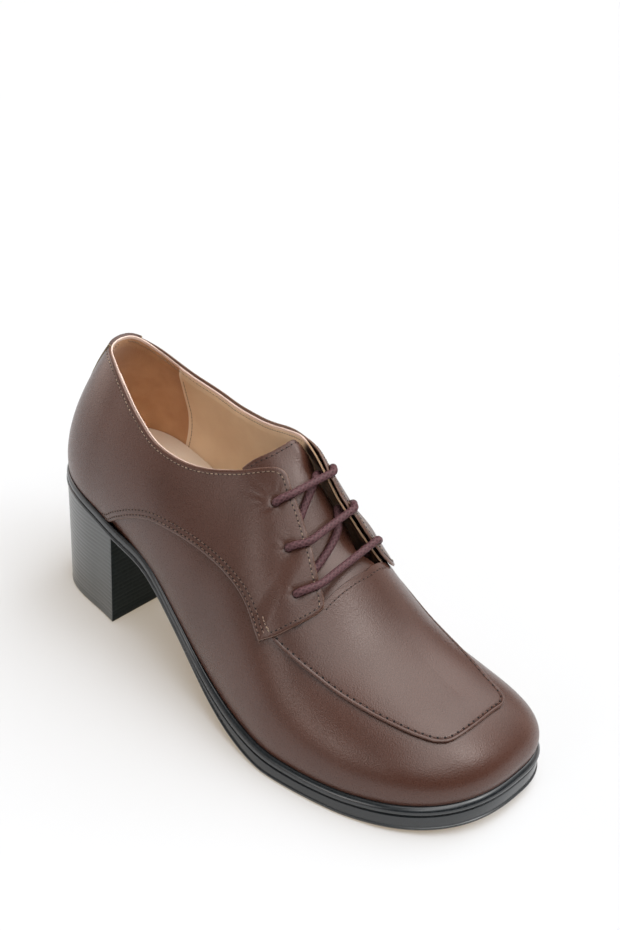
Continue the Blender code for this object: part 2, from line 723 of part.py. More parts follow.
def lace_path():
    """One cord: up a medial eyelet, across, down the lateral one, and on."""
    spare = LACE_END / WALL_LENGTH
    lateral = [(row[0], row[1]) for row in EYELETS["rows"]]
    medial = [(row[2], 2.0 - row[3]) for row in EYELETS["rows"]]
    last = len(lateral) - 1
    points = [lace_place(medial[0][0], medial[0][1] + spare, LACE_UNDER)]
    for number in range(last + 1):
        from_below = 1.0 if number == 0 else -1.0
        to_below = 1.0 if number < last else -1.0
        points += eyelet_turn(*medial[number], -1.0, from_below)
        points += lace_bar(medial[number], lateral[number])
        points += eyelet_turn(*lateral[number], 1.0, to_below)[::-1]
        if number < last:
            points += lace_crossing(lateral[number], medial[number + 1])
    points.append(lace_place(lateral[last][0], lateral[last][1] - spare, LACE_UNDER))
    return np.array(points)


def eyelet_cutter(side):
    """Round plugs through the facing, one per eyelet of a side."""
    solid = Solid()
    for row in EYELETS["rows"]:
        x, share = row[:2] if side == LATERAL else row[2:]
        wide = share if side == LATERAL else 2.0 - share
        place = [np.array([x]), np.array([side]), np.array([share])]
        low = on_last(*place, np.array([UPPER_INNER - CUTTER_REACH]))[0]
        high = on_last(*place, np.array([facing_top(x, wide) + CUTTER_REACH]))[0]
        axis = (high - low) / np.linalg.norm(high - low)
        across = np.cross(axis, np.array([0.0, 0.0, 1.0]))
        across /= np.linalg.norm(across)
        beside = np.cross(axis, across)
        angles = np.linspace(0.0, 2.0 * math.pi, EYELET_SIDES, endpoint=False)
        rim = (np.outer(np.cos(angles), across) + np.outer(np.sin(angles), beside))
        ring_low = [solid.vertex(low + EYELET_RADIUS * spoke, x) for spoke in rim]
        ring_high = [solid.vertex(high + EYELET_RADIUS * spoke, x) for spoke in rim]
        solid.face(ring_low[::-1])
        solid.face(ring_high)
        for a in range(EYELET_SIDES):
            b = (a + 1) % EYELET_SIDES
            solid.face((ring_low[a], ring_low[b], ring_high[b], ring_high[a]))
    return solid


def clear_scene():
    for thing in list(bpy.data.objects):
        bpy.data.objects.remove(thing, do_unlink=True)


def material_for(node):
    name, colour, roughness = MATERIALS[node]
    material = bpy.data.materials.get(name)
    if material is None:
        material = bpy.data.materials.new(name)
        material.use_nodes = True
        surface = material.node_tree.nodes["Principled BSDF"]
        surface.inputs["Base Color"].default_value = colour + (1.0,)
        surface.inputs["Roughness"].default_value = roughness
        surface.inputs["Metallic"].default_value = 0.0
    return material


def add_mesh(name, solid, shift):
    mesh = bpy.data.meshes.new(name)
    points = (np.array(solid.points) + shift) * MM
    mesh.from_pydata(points.tolist(), [], solid.faces)
    thing = bpy.data.objects.new(name, mesh)
    bpy.context.scene.collection.objects.link(thing)
    return thing


def add_lace(name, path, shift):
    curve = bpy.data.curves.new(name, "CURVE")
    curve.dimensions = "3D"
    curve.bevel_depth = LACE_RADIUS * MM
    curve.bevel_resolution = 2
    curve.use_fill_caps = True
    spline = curve.splines.new("POLY")
    spline.points.add(len(path) - 1)
    for point, place in zip(spline.points, (path + shift) * MM):
        point.co = (place[0], place[1], place[2], 1.0)
    thing = bpy.data.objects.new(name, curve)
    bpy.context.scene.collection.objects.link(thing)
    return thing


def cut(thing, cutter):
    step = thing.modifiers.new("eyelets", "BOOLEAN")
    step.operation = "DIFFERENCE"
    step.solver = "EXACT"
    step.object = cutter


clear_scene()
solids = {
    "upper": make_upper(),
    "quarter_lateral": make_quarter(LATERAL),
    "quarter_medial": make_quarter(MEDIAL),
    "apron": make_apron(),
    "tongue": make_tongue(),
    "back_tab": make_back_tab(),
    "insole": make_insole(),
    "outsole": make_outsole(),
    "heel": make_heel(),
    "top_lift": make_top_lift(),
}
every_point = np.concatenate([np.array(solid.points) for solid in solids.values()])
lowest = every_point.min(axis=0)
highest = every_point.max(axis=0)
to_origin = np.array([-(lowest[0] + highest[0]) / 2.0,
                      -(lowest[1] + highest[1]) / 2.0, -lowest[2]])
nodes = {name: add_mesh(name, solid, to_origin) for name, solid in solids.items()}
nodes["lace"] = add_lace("lace", lace_path(), to_origin)
for name, node in nodes.items():
    node.data.materials.append(material_for(name))
for side, quarter in ((LATERAL, "quarter_lateral"), (MEDIAL, "quarter_medial")):
    plugs = add_mesh("eyelet_plugs_" + quarter, eyelet_cutter(side), to_origin)
    plugs.hide_render = True
    plugs.display_type = "WIRE"
    cut(nodes[quarter], plugs)
    cut(nodes["upper"], plugs)
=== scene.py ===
import math
import bpy
import numpy as np
from mathutils import Matrix


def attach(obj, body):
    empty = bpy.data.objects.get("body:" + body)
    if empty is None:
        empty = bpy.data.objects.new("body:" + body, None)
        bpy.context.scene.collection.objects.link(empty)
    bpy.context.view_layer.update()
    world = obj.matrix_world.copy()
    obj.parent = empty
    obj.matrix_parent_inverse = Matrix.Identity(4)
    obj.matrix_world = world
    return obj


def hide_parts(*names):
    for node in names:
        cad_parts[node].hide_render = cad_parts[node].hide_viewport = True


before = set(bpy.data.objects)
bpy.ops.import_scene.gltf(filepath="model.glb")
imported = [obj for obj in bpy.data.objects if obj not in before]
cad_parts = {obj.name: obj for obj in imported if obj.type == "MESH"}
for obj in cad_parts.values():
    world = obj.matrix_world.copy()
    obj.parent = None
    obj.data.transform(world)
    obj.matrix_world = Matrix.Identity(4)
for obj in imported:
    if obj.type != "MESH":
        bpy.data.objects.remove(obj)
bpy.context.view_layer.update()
lateral, medial = -1.0, 1.0
mm = 0.001

# The last that every piece is shaped on, in millimetres from the heel back.
# share runs up a section's wall from the feather edge (0) to the ridge (1).
last = {
    "back": 10.3, "toe": 233.7, "origin": (-122.0091, 5.1728, 0.0),
    "heelRound": 29.0, "heelPower": 2.3, "toeRound": 46.0, "toePower": 2.6,
    "heelLean": 28.0, "toeLean": 24.0, "fan": 60.0, "endBlend": 0.02, "bulgeUnit": 6.75,
    "columns": ("x", "centre", "lateral", "medial", "feather", "ridge", "ridgeY", "fullness", "bulge"),
    "rows": (
        (0, 1, 27, 25.5, 58.2, 133, 1, 1.36, 3.4), (15, 1, 27, 25.5, 57.6, 133, 1, 1.36, 3.4),
        (30, 1, 27.2, 25.5, 55.6, 133, 1, 1.37, 3.6), (42, 1, 28.3, 25.3, 53.4, 132.3, 1, 1.41, 4.0),
        (55, 1, 29.8, 25, 50.3, 131, 1, 1.48, 4.4), (80, 0.5, 32.5, 23.5, 43, 126, 1, 1.62, 4.0),
        (100, 0, 35, 24, 29, 118, 1.5, 1.7, 3.5), (112, 0, 37, 25, 20.5, 112, 1.8, 1.75, 3.2),
        (127, 0, 40.3, 27.5, 13.5, 102.5, 2, 1.8, 3.0), (142, 0, 43.6, 31, 9.5, 86.5, 2, 1.85, 3.0),
        (158, 0.3, 46.4, 34, 7.6, 68, 1.5, 1.9, 3.0), (173, 1, 46.3, 34.5, 7, 54.5, 1, 2.0, 3.0),
        (188, 2.3, 45.2, 33.5, 7.2, 45.5, 0.5, 2.15, 2.8), (203, 4.5, 44, 31.5, 8.3, 39.5, 0, 2.3, 2.3),
        (220, 7, 43.5, 30, 10.6, 35.5, 0, 2.4, 2.2), (234, 7.5, 42.5, 31, 13.5, 33.5, 0, 2.4, 2.2)),
}
topline = {
    "columns": ("x", "lateral", "medial"),
    "rows": (
        (10, 0.628, 0.628), (17, 0.622, 0.58), (26, 0.611, 0.538), (35, 0.587, 0.504), (44, 0.555, 0.484),
        (59, 0.503, 0.472), (73, 0.472, 0.474), (86, 0.496, 0.525), (96.5, 0.549, 0.602),
        (105, 0.611, 0.685),
        (111.5, 0.671, 0.757), (117.5, 0.744, 0.832), (121.5, 0.795, 0.875), (125, 0.815, 0.9),
        (129, 0.797, 0.922), (136, 0.781, 0.935), (144, 0.753, 0.922), (151, 0.721, 0.865),
        (154, 0.713, 0.812), (156, 0.704, 0.765), (157.5, 0.69, 0.7)),
}


def along(table, name, x):
    # smooth curve through one column of a table
    place = table["columns"].index(name)
    knots = np.array([row[0] for row in table["rows"]], float)
    values = np.array([row[place] for row in table["rows"]], float)
    x = np.asarray(x, float)
    steps = np.diff(knots)
    rates = np.diff(values) / steps
    slopes = np.empty_like(values)
    slopes[0], slopes[-1] = rates[0], rates[-1]
    slopes[1:-1] = (rates[:-1] * steps[1:] + rates[1:] * steps[:-1]) / (steps[1:] + steps[:-1])
    spot = np.clip(np.searchsorted(knots, x) - 1, 0, len(knots) - 2)
    u = np.clip((x - knots[spot]) / steps[spot], 0, 1)
    return ((2 * u**3 - 3 * u**2 + 1) * values[spot] + (u**3 - 2 * u**2 + u) * steps[spot] * slopes[spot]
            + (3 * u**2 - 2 * u**3) * values[spot + 1] + (u**3 - u**2) * steps[spot] * slopes[spot + 1])


def sideAlong(table, side, x):
    return np.where(np.asarray(side) < 0, along(table, "lateral", x), along(table, "medial", x))


def ease(value):
    value = np.clip(value, 0, 1)
    return value * value * (3 - 2 * value)


def between(x, span):
    # 0 before the span and 1 after it
    return ease((x - span[0]) / (span[1] - span[0]))


def toTurn(x):
    share = (np.asarray(x, float) - last["back"]) / (last["toe"] - last["back"])
    return np.arccos(np.clip(1 - 2 * share, -1, 1)) / math.pi


def toStation(turn):
    return last["back"] + (last["toe"] - last["back"]) * (1 - np.cos(math.pi * np.asarray(turn, float))) / 2


def foldOver(turn, side, share):
    # past the heel back, the toe tip or the ridge a place is on the other side
    turn, side, share = np.broadcast_arrays(np.asarray(turn, float), np.asarray(side, float),
                                            np.asarray(share, float))
    side = np.where(turn < 0, -side, side)
    turn = np.abs(turn)
    side = np.where(turn > 1, -side, side)
    turn = np.where(turn > 1, 2 - turn, turn)
    side = np.where(share > 1, -side, side)
    return turn, side, np.maximum(np.where(share > 1, 2 - share, share), 0)


def featherPlan(turn, side):
    turn, side, _ = foldOver(turn, side, 0.0)
    x = toStation(turn)
    heel = np.clip((last["back"] + last["heelRound"] - x) / last["heelRound"], 0, 1)
    toe = np.clip((x - last["toe"] + last["toeRound"]) / last["toeRound"], 0, 1)
    closing = ((1 - heel ** last["heelPower"]) ** (1 / last["heelPower"])
               * (1 - toe ** last["toePower"]) ** (1 / last["toePower"]))
    return x, along(last, "centre", x) + side * sideAlong(last, side, x) * closing


def skin(turn, side, share):
    turn, side, share = foldOver(turn, side, share)
    x, footY = featherPlan(turn, side)
    footZ = along(last, "feather", x)
    toe = np.clip((x - last["toe"] + last["fan"]) / last["fan"], 0, 1)
    heel = np.clip((last["back"] + last["fan"] - x) / last["fan"], 0, 1)
    topX = x - last["toeLean"] * toe**2 + last["heelLean"] * heel**2
    topZ = along(last, "ridge", topX)
    slope = along(last, "ridge", topX + 0.5) - along(last, "ridge", topX - 0.5)
    power = 2 / along(last, "fullness", x)
    climb = np.sin(share * math.pi / 2) ** power
    inward = 1 - np.cos(share * math.pi / 2) ** power
    outX, outY = x - topX, footY - along(last, "ridgeY", topX)
    reach = np.maximum(np.hypot(outX, outY), 1e-9)
    bulge = along(last, "bulge", x) * last["bulgeUnit"] * climb * (1 - climb) ** 2
    placeX = x - outX * inward + outX / reach * bulge
    placeY = footY - outY * inward + outY / reach * bulge
    placeZ = footZ + (topZ - footZ) * climb + slope * toe**2 * (placeX - topX) * climb**3
    return np.stack([placeX, placeY, placeZ], axis=-1)


def rawNormal(turn, side, share, step=0.001):
    run = skin(turn + step, side, share) - skin(turn - step, side, share)
    rise = skin(turn, side, share + step) - skin(turn, side, np.maximum(share - step, 0))
    out = np.cross(run, rise) * (-side)[..., None]
    out[..., 2] *= np.clip(share / 0.12, 0, 1)  # level at the feather edge
    return out / np.maximum(np.linalg.norm(out, axis=-1, keepdims=True), 1e-12)


def skinNormal(turn, side, share):
    turn, side, share = foldOver(turn, side, share)
    inside = np.clip(turn, last["endBlend"], 1 - last["endBlend"])
    keep = 1 - np.abs(turn - inside)[..., None] / last["endBlend"]
    out = rawNormal(inside, side, share) * (1 + keep) + rawNormal(inside, -side, share) * (1 - keep)
    return out / np.linalg.norm(out, axis=-1, keepdims=True)


def onLast(x, side, share, out):
    # points in millimetres at section x, share of the wall, out from the last
    turn, side, share, out = np.broadcast_arrays(toTurn(x), np.asarray(side, float),
                                                 np.asarray(share, float), np.asarray(out, float))
    return skin(turn, side, share) + skinNormal(turn, side, share) * out[..., None]


def soleRing(x, side, out):
    # the feather outline in plan, moved outward
    turn = toTurn(x)
    side = np.broadcast_to(np.asarray(side, float), turn.shape)
    here = np.stack(featherPlan(turn, side), axis=-1)
    inside = np.clip(turn, last["endBlend"], 1 - last["endBlend"])
    run = np.stack(featherPlan(inside + 0.001, side), -1) - np.stack(featherPlan(inside - 0.001, side), -1)
    normal = np.stack([-run[..., 1], run[..., 0]], axis=-1) * side[..., None]
    normal[..., 1] *= 1 - np.abs(turn - inside) / last["endBlend"]
    normal /= np.linalg.norm(normal, axis=-1, keepdims=True)
    return here + normal * np.asarray(out, float)[..., None]


def stationsBetween(first, final, count):
    return toStation(np.linspace(toTurn(first), toTurn(final), count))


def rowsBetween(low, high, count, edge=(0.0, 0.12, 0.35, 0.7), wall=75.0):
    # shares from low to high, close together near both edges
    low, high = np.asarray(low, float)[:, None], np.asarray(high, float)[:, None]
    steps = np.array(edge)[None, :] / wall
    room = np.minimum(1, (high - low) / (4 * steps[:, -1:] + 1e-9))
    first, final = low + steps * room, high - steps[:, ::-1] * room
    middle = np.linspace(0, 1, count + 2)[None, 1:-1]
    return np.concatenate([first, first[:, -1:] + (final[:, :1] - first[:, -1:]) * middle, final], axis=1)


def distanceTo(points, line):
    # distance of each point from a line of short steps
    flat = points.reshape(-1, 3)
    found = np.full(len(flat), 1e9)
    for start in range(0, len(flat), 2000):
        some = flat[start:start + 2000]
        nearest = ((some[:, None] - line[None]) ** 2).sum(-1).argmin(1)
        for shift in (-1, 0):  # the steps on both sides of the nearest corner
            first = np.clip(nearest + shift, 0, len(line) - 2)
            run = line[first + 1] - line[first]
            share = ((some - line[first]) * run).sum(1) / np.maximum((run**2).sum(1), 1e-12)
            away = some - line[first] - run * np.clip(share, 0, 1)[:, None]
            found[start:start + 2000] = np.minimum(found[start:start + 2000], np.linalg.norm(away, axis=1))
    return found.reshape(points.shape[:-1])


def resample(points, pitch):
    # even steps along a line
    run = np.concatenate([[0], np.cumsum(np.linalg.norm(np.diff(points, axis=0), axis=1))])
    count = max(int(round(run[-1] / pitch)), 2)
    at = np.linspace(0, run[-1], count + 1)
    return np.stack([np.interp(at, run, points[:, k]) for k in range(points.shape[1])], axis=-1)


def inset(x, side, share, gap):
    # a line on the wall moved sideways by gap millimetres
    side = np.full(len(x), side)
    here = onLast(x, side, share, 0.0)
    alongX = (onLast(x + 0.2, side, share, 0.0) - onLast(x - 0.2, side, share, 0.0)) / 0.4
    up = (onLast(x, side, share + 0.003, 0.0) - onLast(x, side, share - 0.003, 0.0)) / 0.006
    run = np.gradient(here, axis=0)
    across = np.cross(np.cross(alongX, up), run)
    across *= gap / np.linalg.norm(across, axis=1, keepdims=True)
    a, b, c = (alongX**2).sum(1), (alongX * up).sum(1), (up**2).sum(1)
    p, q = (across * alongX).sum(1), (across * up).sum(1)
    det = a * c - b * b
    return x + (p * c - q * b) / det, share + (q * a - p * b) / det


# Mesh helpers
def deselect():
    if bpy.context.mode != "OBJECT":
        bpy.ops.object.mode_set(mode="OBJECT")
    bpy.ops.object.select_all(action="DESELECT")


def addGrid(name, points, flip=False, values=None):
    # a grid primitive with its vertices laid on the given points
    columns, rows = points.shape[:2]
    deselect()
    bpy.ops.mesh.primitive_grid_add(x_subdivisions=columns - 1, y_subdivisions=rows - 1, size=1)
    piece = bpy.context.active_object
    piece.name = piece.data.name = name
    flat = (points.transpose(1, 0, 2).reshape(-1, 3) + np.array(last["origin"])) * mm
    piece.data.vertices.foreach_set("co", flat.astype(np.float32).ravel())
    for key, value in (values or {}).items():
        spread = np.broadcast_to(value, points.shape[:2]).T.ravel()
        piece.data.attributes.new(key, "FLOAT", "POINT").data.foreach_set("value", spread.astype(np.float32))
    if flip:
        bpy.ops.object.mode_set(mode="EDIT")
        bpy.ops.mesh.select_all(action="SELECT")
        bpy.ops.mesh.flip_normals()
        bpy.ops.object.mode_set(mode="OBJECT")
    piece.data.update()
    return piece


def joinPieces(name, pieces, merge=0.00002):
    deselect()
    for piece in pieces:
        piece.select_set(True)
    bpy.context.view_layer.objects.active = pieces[0]
    if len(pieces) > 1:
        bpy.ops.object.join()
    bpy.ops.object.mode_set(mode="EDIT")
    bpy.ops.mesh.select_all(action="SELECT")
    bpy.ops.mesh.remove_doubles(threshold=merge)
    bpy.ops.object.mode_set(mode="OBJECT")
    joined = bpy.context.active_object
    joined.name = joined.data.name = name
    return joined


def closeEnds(tube):
    # merge the seam of a tube and fill its open ends
    tube = joinPieces(tube.name, [tube])
    bpy.ops.object.mode_set(mode="EDIT")
    bpy.ops.mesh.select_mode(type="EDGE")
    bpy.ops.mesh.select_all(action="DESELECT")
    bpy.ops.mesh.select_non_manifold()
    bpy.ops.mesh.edge_face_add()
    bpy.ops.mesh.select_all(action="SELECT")
    bpy.ops.mesh.normals_make_consistent(inside=False)
    bpy.ops.object.mode_set(mode="OBJECT")
    return tube


def thicken(piece, thick):
    deselect()
    piece.select_set(True)
    bpy.context.view_layer.objects.active = piece
    wall = piece.modifiers.new("wall", "SOLIDIFY")
    wall.thickness = thick * mm
    wall.offset = -1
    bpy.ops.object.modifier_apply(modifier="wall")
    return piece


def dress(piece, material, slot, *nodes):
    piece.data.materials.clear()
    piece.data.materials.append(material)
    deselect()
    piece.select_set(True)
    bpy.context.view_layer.objects.active = piece
    bpy.ops.object.shade_smooth_by_angle(angle=math.radians(40))
    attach(piece, "root")
    if nodes:
        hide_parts(*nodes)
    print("piece", piece.name, len(piece.data.polygons))


# Materials
def newMaterial(name):
    material = bpy.data.materials.new(name)
    material.use_nodes = True
    return material, material.node_tree.nodes, material.node_tree.links


def node(nodes, kind, **settings):
    made = nodes.new(kind)
    for key, value in settings.items():
        if key in made.inputs:
            made.inputs[key].default_value = value
        else:
            setattr(made, key, value)
    return made


def mixColour(nodes, links, share, first, second):
    # share is a socket; first and second are colours or sockets
    mix = nodes.new("ShaderNodeMix")
    mix.data_type = "RGBA"
    links.new(share, mix.inputs["Factor"])
    for value, place in ((first, 6), (second, 7)):
        if isinstance(value, tuple):
            mix.inputs[place].default_value = value + (1.0,)
        else:
            links.new(value, mix.inputs[place])
    return mix.outputs[2]


def remap(nodes, links, value, low, high, toLow, toHigh):
    made = nodes.new("ShaderNodeMapRange")
    made.interpolation_type = "SMOOTHSTEP"
    links.new(value, made.inputs["Value"])
    for key, number in (("From Min", low), ("From Max", high), ("To Min", toLow), ("To Max", toHigh)):
        made.inputs[key].default_value = number
    return made.outputs["Result"]


def makeGrain():
    # fine hide pattern and slow changes of tone, shared by all the leathers
    group = bpy.data.node_groups.new("hide grain", "ShaderNodeTree")
    for way, names in (("INPUT", ("Cell", "Patch")), ("OUTPUT", ("Height", "Tone", "Fine"))):
        for name in names:
            group.interface.new_socket(name, in_out=way, socket_type="NodeSocketFloat")
    nodes, links = group.nodes, group.links
    entry, leave = nodes.new("NodeGroupInput"), nodes.new("NodeGroupOutput")
    place = nodes.new("ShaderNodeTexCoord")
    warp = node(nodes, "ShaderNodeTexNoise", Scale=700.0, Detail=2.0)
    cells = node(nodes, "ShaderNodeTexVoronoi", feature="SMOOTH_F1", Smoothness=0.6)
    fine = node(nodes, "ShaderNodeTexNoise", Scale=1800.0, Detail=3.0, Roughness=0.6)
    slow = node(nodes, "ShaderNodeTexNoise", Detail=3.0, Roughness=0.55)
    links.new(place.outputs["Object"], warp.inputs["Vector"])
    shift = node(nodes, "ShaderNodeVectorMath", operation="SCALE")
    shift.inputs["Scale"].default_value = 0.0004
    links.new(warp.outputs["Color"], shift.inputs[0])
    moved = node(nodes, "ShaderNodeVectorMath", operation="ADD")
    links.new(place.outputs["Object"], moved.inputs[0])
    links.new(shift.outputs[0], moved.inputs[1])
    links.new(moved.outputs[0], cells.inputs["Vector"])
    links.new(place.outputs["Object"], fine.inputs["Vector"])
    links.new(place.outputs["Object"], slow.inputs["Vector"])
    links.new(entry.outputs["Cell"], cells.inputs["Scale"])
    links.new(entry.outputs["Patch"], slow.inputs["Scale"])
    total = node(nodes, "ShaderNodeMath", operation="MULTIPLY_ADD")
    links.new(fine.outputs["Fac"], total.inputs[0])
    total.inputs[1].default_value = 0.5
    links.new(cells.outputs["Distance"], total.inputs[2])
    links.new(total.outputs[0], leave.inputs["Height"])
    links.new(slow.outputs["Fac"], leave.inputs["Tone"])
    links.new(fine.outputs["Fac"], leave.inputs["Fine"])
    return group


hideGrain = makeGrain()


def makeLeather(name, finish):
    material, nodes, links = newMaterial(name)
    surface = nodes["Principled BSDF"]
    grain = nodes.new("ShaderNodeGroup")
    grain.node_tree = hideGrain
    grain.inputs["Cell"].default_value = finish["cell"]
    grain.inputs["Patch"].default_value = finish["patch"]
    tone = remap(nodes, links, grain.outputs["Tone"], 0.3, 0.7, 0.0, 1.0)
    colour = mixColour(nodes, links, tone, finish["dark"], finish["light"])
    for mask, full, none, tint in finish.get("tints", ()):  # cut edges, lining edges, painted shade at the eyelets and inside the facing lining
        found = node(nodes, "ShaderNodeAttribute", attribute_name=mask)
        share = remap(nodes, links, found.outputs["Fac"], full, none, 1.0, 0.0)
        colour = mixColour(nodes, links, share, colour, tint)
    links.new(colour, surface.inputs["Base Color"])
    rough = remap(nodes, links, grain.outputs["Fine"], 0.3, 0.7, finish["rough"][0], finish["rough"][1])
    links.new(rough, surface.inputs["Roughness"])
    bump = node(nodes, "ShaderNodeBump", Strength=finish["bump"], Distance=0.0004)
    links.new(grain.outputs["Height"], bump.inputs["Height"])
    links.new(bump.outputs["Normal"], surface.inputs["Normal"])
    surface.inputs["Specular IOR Level"].default_value = finish.get("gloss", 0.5)
    surface.inputs["Specular Tint"].default_value = finish.get("warm", (1.0, 1.0, 1.0, 1.0))
    surface.inputs["Sheen Weight"].default_value = finish.get("nap", 0.0)
    return material


brownFinish = {
    "dark": (0.067, 0.0262, 0.0168), "light": (0.084, 0.0335, 0.0220), "cell": 1900.0, "patch": 28.0,
    "rough": (0.26, 0.34), "bump": 0.15, "gloss": 0.65, "warm": (1.0, 0.91, 0.87, 1.0)}
# painted shade: the eyelet tint darkens the leather round each lace hole where its shadow falls
eyeletShadeTint = ("eyeletShadeAndPaleEdge", 1.0, 0.0, (0.012, 0.006, 0.005))
brownLeather = makeLeather("brown leather", dict(
    brownFinish, tints=(("edge", 0.10, 0.6, (0.20, 0.115, 0.085)), eyeletShadeTint)))
vampLeather = makeLeather("vamp leather", brownFinish)
stripLeather = makeLeather("strip leather", dict(
    brownFinish, tints=(("edge", 0.35, 0.7, (0.25, 0.19, 0.105)),)))
pinkEdge = (0.95, 0.73, 0.62)
# the shade mask paints shade on the inner face of the facing lining; the other tints are the lining's own
# pale seam edge, pink top edge and tan facing edge
beigeLining = makeLeather("beige lining", {
    "dark": (0.78, 0.57, 0.37), "light": (0.88, 0.68, 0.47), "cell": 900.0, "patch": 40.0,
    "rough": (0.5, 0.65), "bump": 0.15,
    "tints": (("eyeletShadeAndPaleEdge", 1.0, 0.0, (0.88, 0.72, 0.54)), ("shade", 1.0, 0.0, (0.03, 0.013, 0.01)),
              ("edge", 0.8, 1.4, pinkEdge), ("facing", 1.0, 0.0, (0.58, 0.38, 0.23)))})
heelSuede = makeLeather("heel suede", {
    "dark": (0.50, 0.25, 0.115), "light": (0.62, 0.34, 0.17), "cell": 1900.0, "patch": 60.0,
    "rough": (0.8, 0.95), "bump": 0.35, "nap": 0.3, "gloss": 0.2, "tints": (("edge", 0.8, 1.4, pinkEdge),)})
sockLeather = makeLeather("sock leather", {
    "dark": (0.67, 0.54, 0.42), "light": (0.765, 0.635, 0.505), "cell": 900.0, "patch": 30.0,
    "rough": (0.55, 0.7), "bump": 0.15})


def makePlain(name, finish):
    # rubber, heel and thread: one colour with fine speckle
    material, nodes, links = newMaterial(name)
    surface = nodes["Principled BSDF"]
    place = nodes.new("ShaderNodeTexCoord")
    noise = node(nodes, "ShaderNodeTexNoise", Scale=finish["speck"], Detail=4.0, Roughness=0.6)
    links.new(place.outputs["Object"], noise.inputs["Vector"])
    share = remap(nodes, links, noise.outputs["Fac"], 0.3, 0.7, 0.0, 1.0)
    links.new(mixColour(nodes, links, share, finish["dark"], finish["light"]), surface.inputs["Base Color"])
    rough = remap(nodes, links, noise.outputs["Fac"], 0.3, 0.7, *finish["rough"])
    links.new(rough, surface.inputs["Roughness"])
    bump = node(nodes, "ShaderNodeBump", Strength=finish["bump"], Distance=0.0003)
    links.new(noise.outputs["Fac"], bump.inputs["Height"])
    links.new(bump.outputs["Normal"], surface.inputs["Normal"])
    surface.inputs["Specular IOR Level"].default_value = finish.get("gloss", 0.5)
    if "polish" in finish:  # lacquer where the attribute says so
        found = node(nodes, "ShaderNodeAttribute", attribute_name="polish")
        links.new(found.outputs["Fac"], surface.inputs["Coat Weight"])
        surface.inputs["Coat IOR"].default_value = finish["polish"]
        surface.inputs["Coat Roughness"].default_value = finish["polishRough"]
    return material


def makeThread(name, dark, light, speck):
    return makePlain(name, {"dark": dark, "light": light, "speck": speck, "rough": (0.5, 0.7), "bump": 0.3})


soleRubber = makePlain("sole rubber", {
    "dark": (0.010, 0.0130, 0.0150), "light": (0.016, 0.0200, 0.0230), "speck": 900.0, "rough": (0.17, 0.24),
    "bump": 0.03, "gloss": 0.8})
heelBlack = makePlain("heel black", {
    "dark": (0.011, 0.017, 0.017), "light": (0.019, 0.027, 0.027), "speck": 700.0, "rough": (0.34, 0.46),
    "bump": 0.1, "gloss": 0.1, "polish": 1.9, "polishRough": 0.36})
brownThread = makeThread("brown thread", (0.10, 0.048, 0.036), (0.15, 0.080, 0.060), 2500.0)
tanThread = makeThread("tan thread", (0.17, 0.10, 0.074), (0.33, 0.22, 0.155), 700.0)
# the thread mixes brown and cream at random; the cream is partly real pale thread and partly painted glints
# on some stitches
paleGlintThread = makeThread("pale thread and painted glints", (0.12, 0.070, 0.052), (0.50, 0.37, 0.26), 330.0)
seamThread = makeThread("seam thread", (0.11, 0.060, 0.044), (0.21, 0.130, 0.092), 700.0)
# painted shade: near-black flattened balls between the stitches stand in for the shade inside the needle
# holes
holeShade = makePlain("needle hole shade", {
    "dark": (0.006, 0.003, 0.003), "light": (0.010, 0.005, 0.004), "speck": 2000.0, "rough": (0.8, 0.9),
    "bump": 0.0})

# Upper: brown vamp outside, lining inside
upper = {"outer": 1.3, "thick": 0.8, "tuck": 0.05, "throatFrom": 157.0, "throatFront": 166.0,
         "stations": 210, "rows": 34}


def upperEdge(x, side, tuck):
    edge = sideAlong(topline, side, np.minimum(x, upper["throatFrom"])) - tuck
    turn = np.clip((x - upper["throatFrom"]) / (upper["throatFront"] - upper["throatFrom"]), 0, 1)
    return 1 - (1 - edge) * np.sqrt(1 - turn**2)


def makeVamp():
    halves = []
    for side in (lateral, medial):
        x = stationsBetween(last["back"], last["toe"], upper["stations"])
        shares = rowsBetween(np.zeros_like(x), upperEdge(x, side, upper["tuck"]), upper["rows"])
        shares[:, -1] = np.where(x >= upper["throatFront"], 1.0, shares[:, -1])
        points = onLast(x[:, None], side, shares, upper["outer"])
        halves.append(addGrid("vampHalf", points, flip=side == medial))
    return thicken(joinPieces("vamp", halves), upper["thick"])


dress(makeVamp(), vampLeather, "brown_leather", "upper")

lining = {
    "inner": -0.4, "thick": 0.6, "roll": 1.4, "rollWidth": 4.0, "low": 0.02, "wall": 48.0, "sideWall": 80.0,
    "facing": {lateral: 0.2, medial: 2.0}, "lift": {lateral: 0.0, medial: 1.1}, "fade": 0.55,
    "proud": {lateral: 0.1, medial: -0.7}, "rows": 40, "stations": 150, "suedeSink": 0.35, "suedeOver": 6.0,
    # sections between which the heel stops being level, the collar ends, the facing lifts and fades, and
    # the painted shade inside the facing and its tan edge start
    "levelEnd": (14.0, 26.0), "collarEnd": (106.0, 118.0), "liftStart": (138.0, 146.0),
    "fadeStart": (150.0, 158.0), "shadeAndTanEdgeStart": (117.0, 122.0),
}
liningSeam = {  # where the front lining ends over the heel suede
    "columns": ("x", "at"),
    "rows": ((0.0, 36.0), (0.2, 37.2), (0.4, 38.3), (0.55, 38.4), (0.75, 36.8), (1.0, 35.6)),
}


def liningTop(x, side):
    collar = 1 - between(x, lining["collarEnd"])
    level = 1 - between(x, lining["levelEnd"])
    proud = lining["proud"][lateral] * level + lining["proud"][side] * (1 - level)
    return np.minimum(upperEdge(x, side, 0.0) + proud / lining["sideWall"] * collar, 1.0)


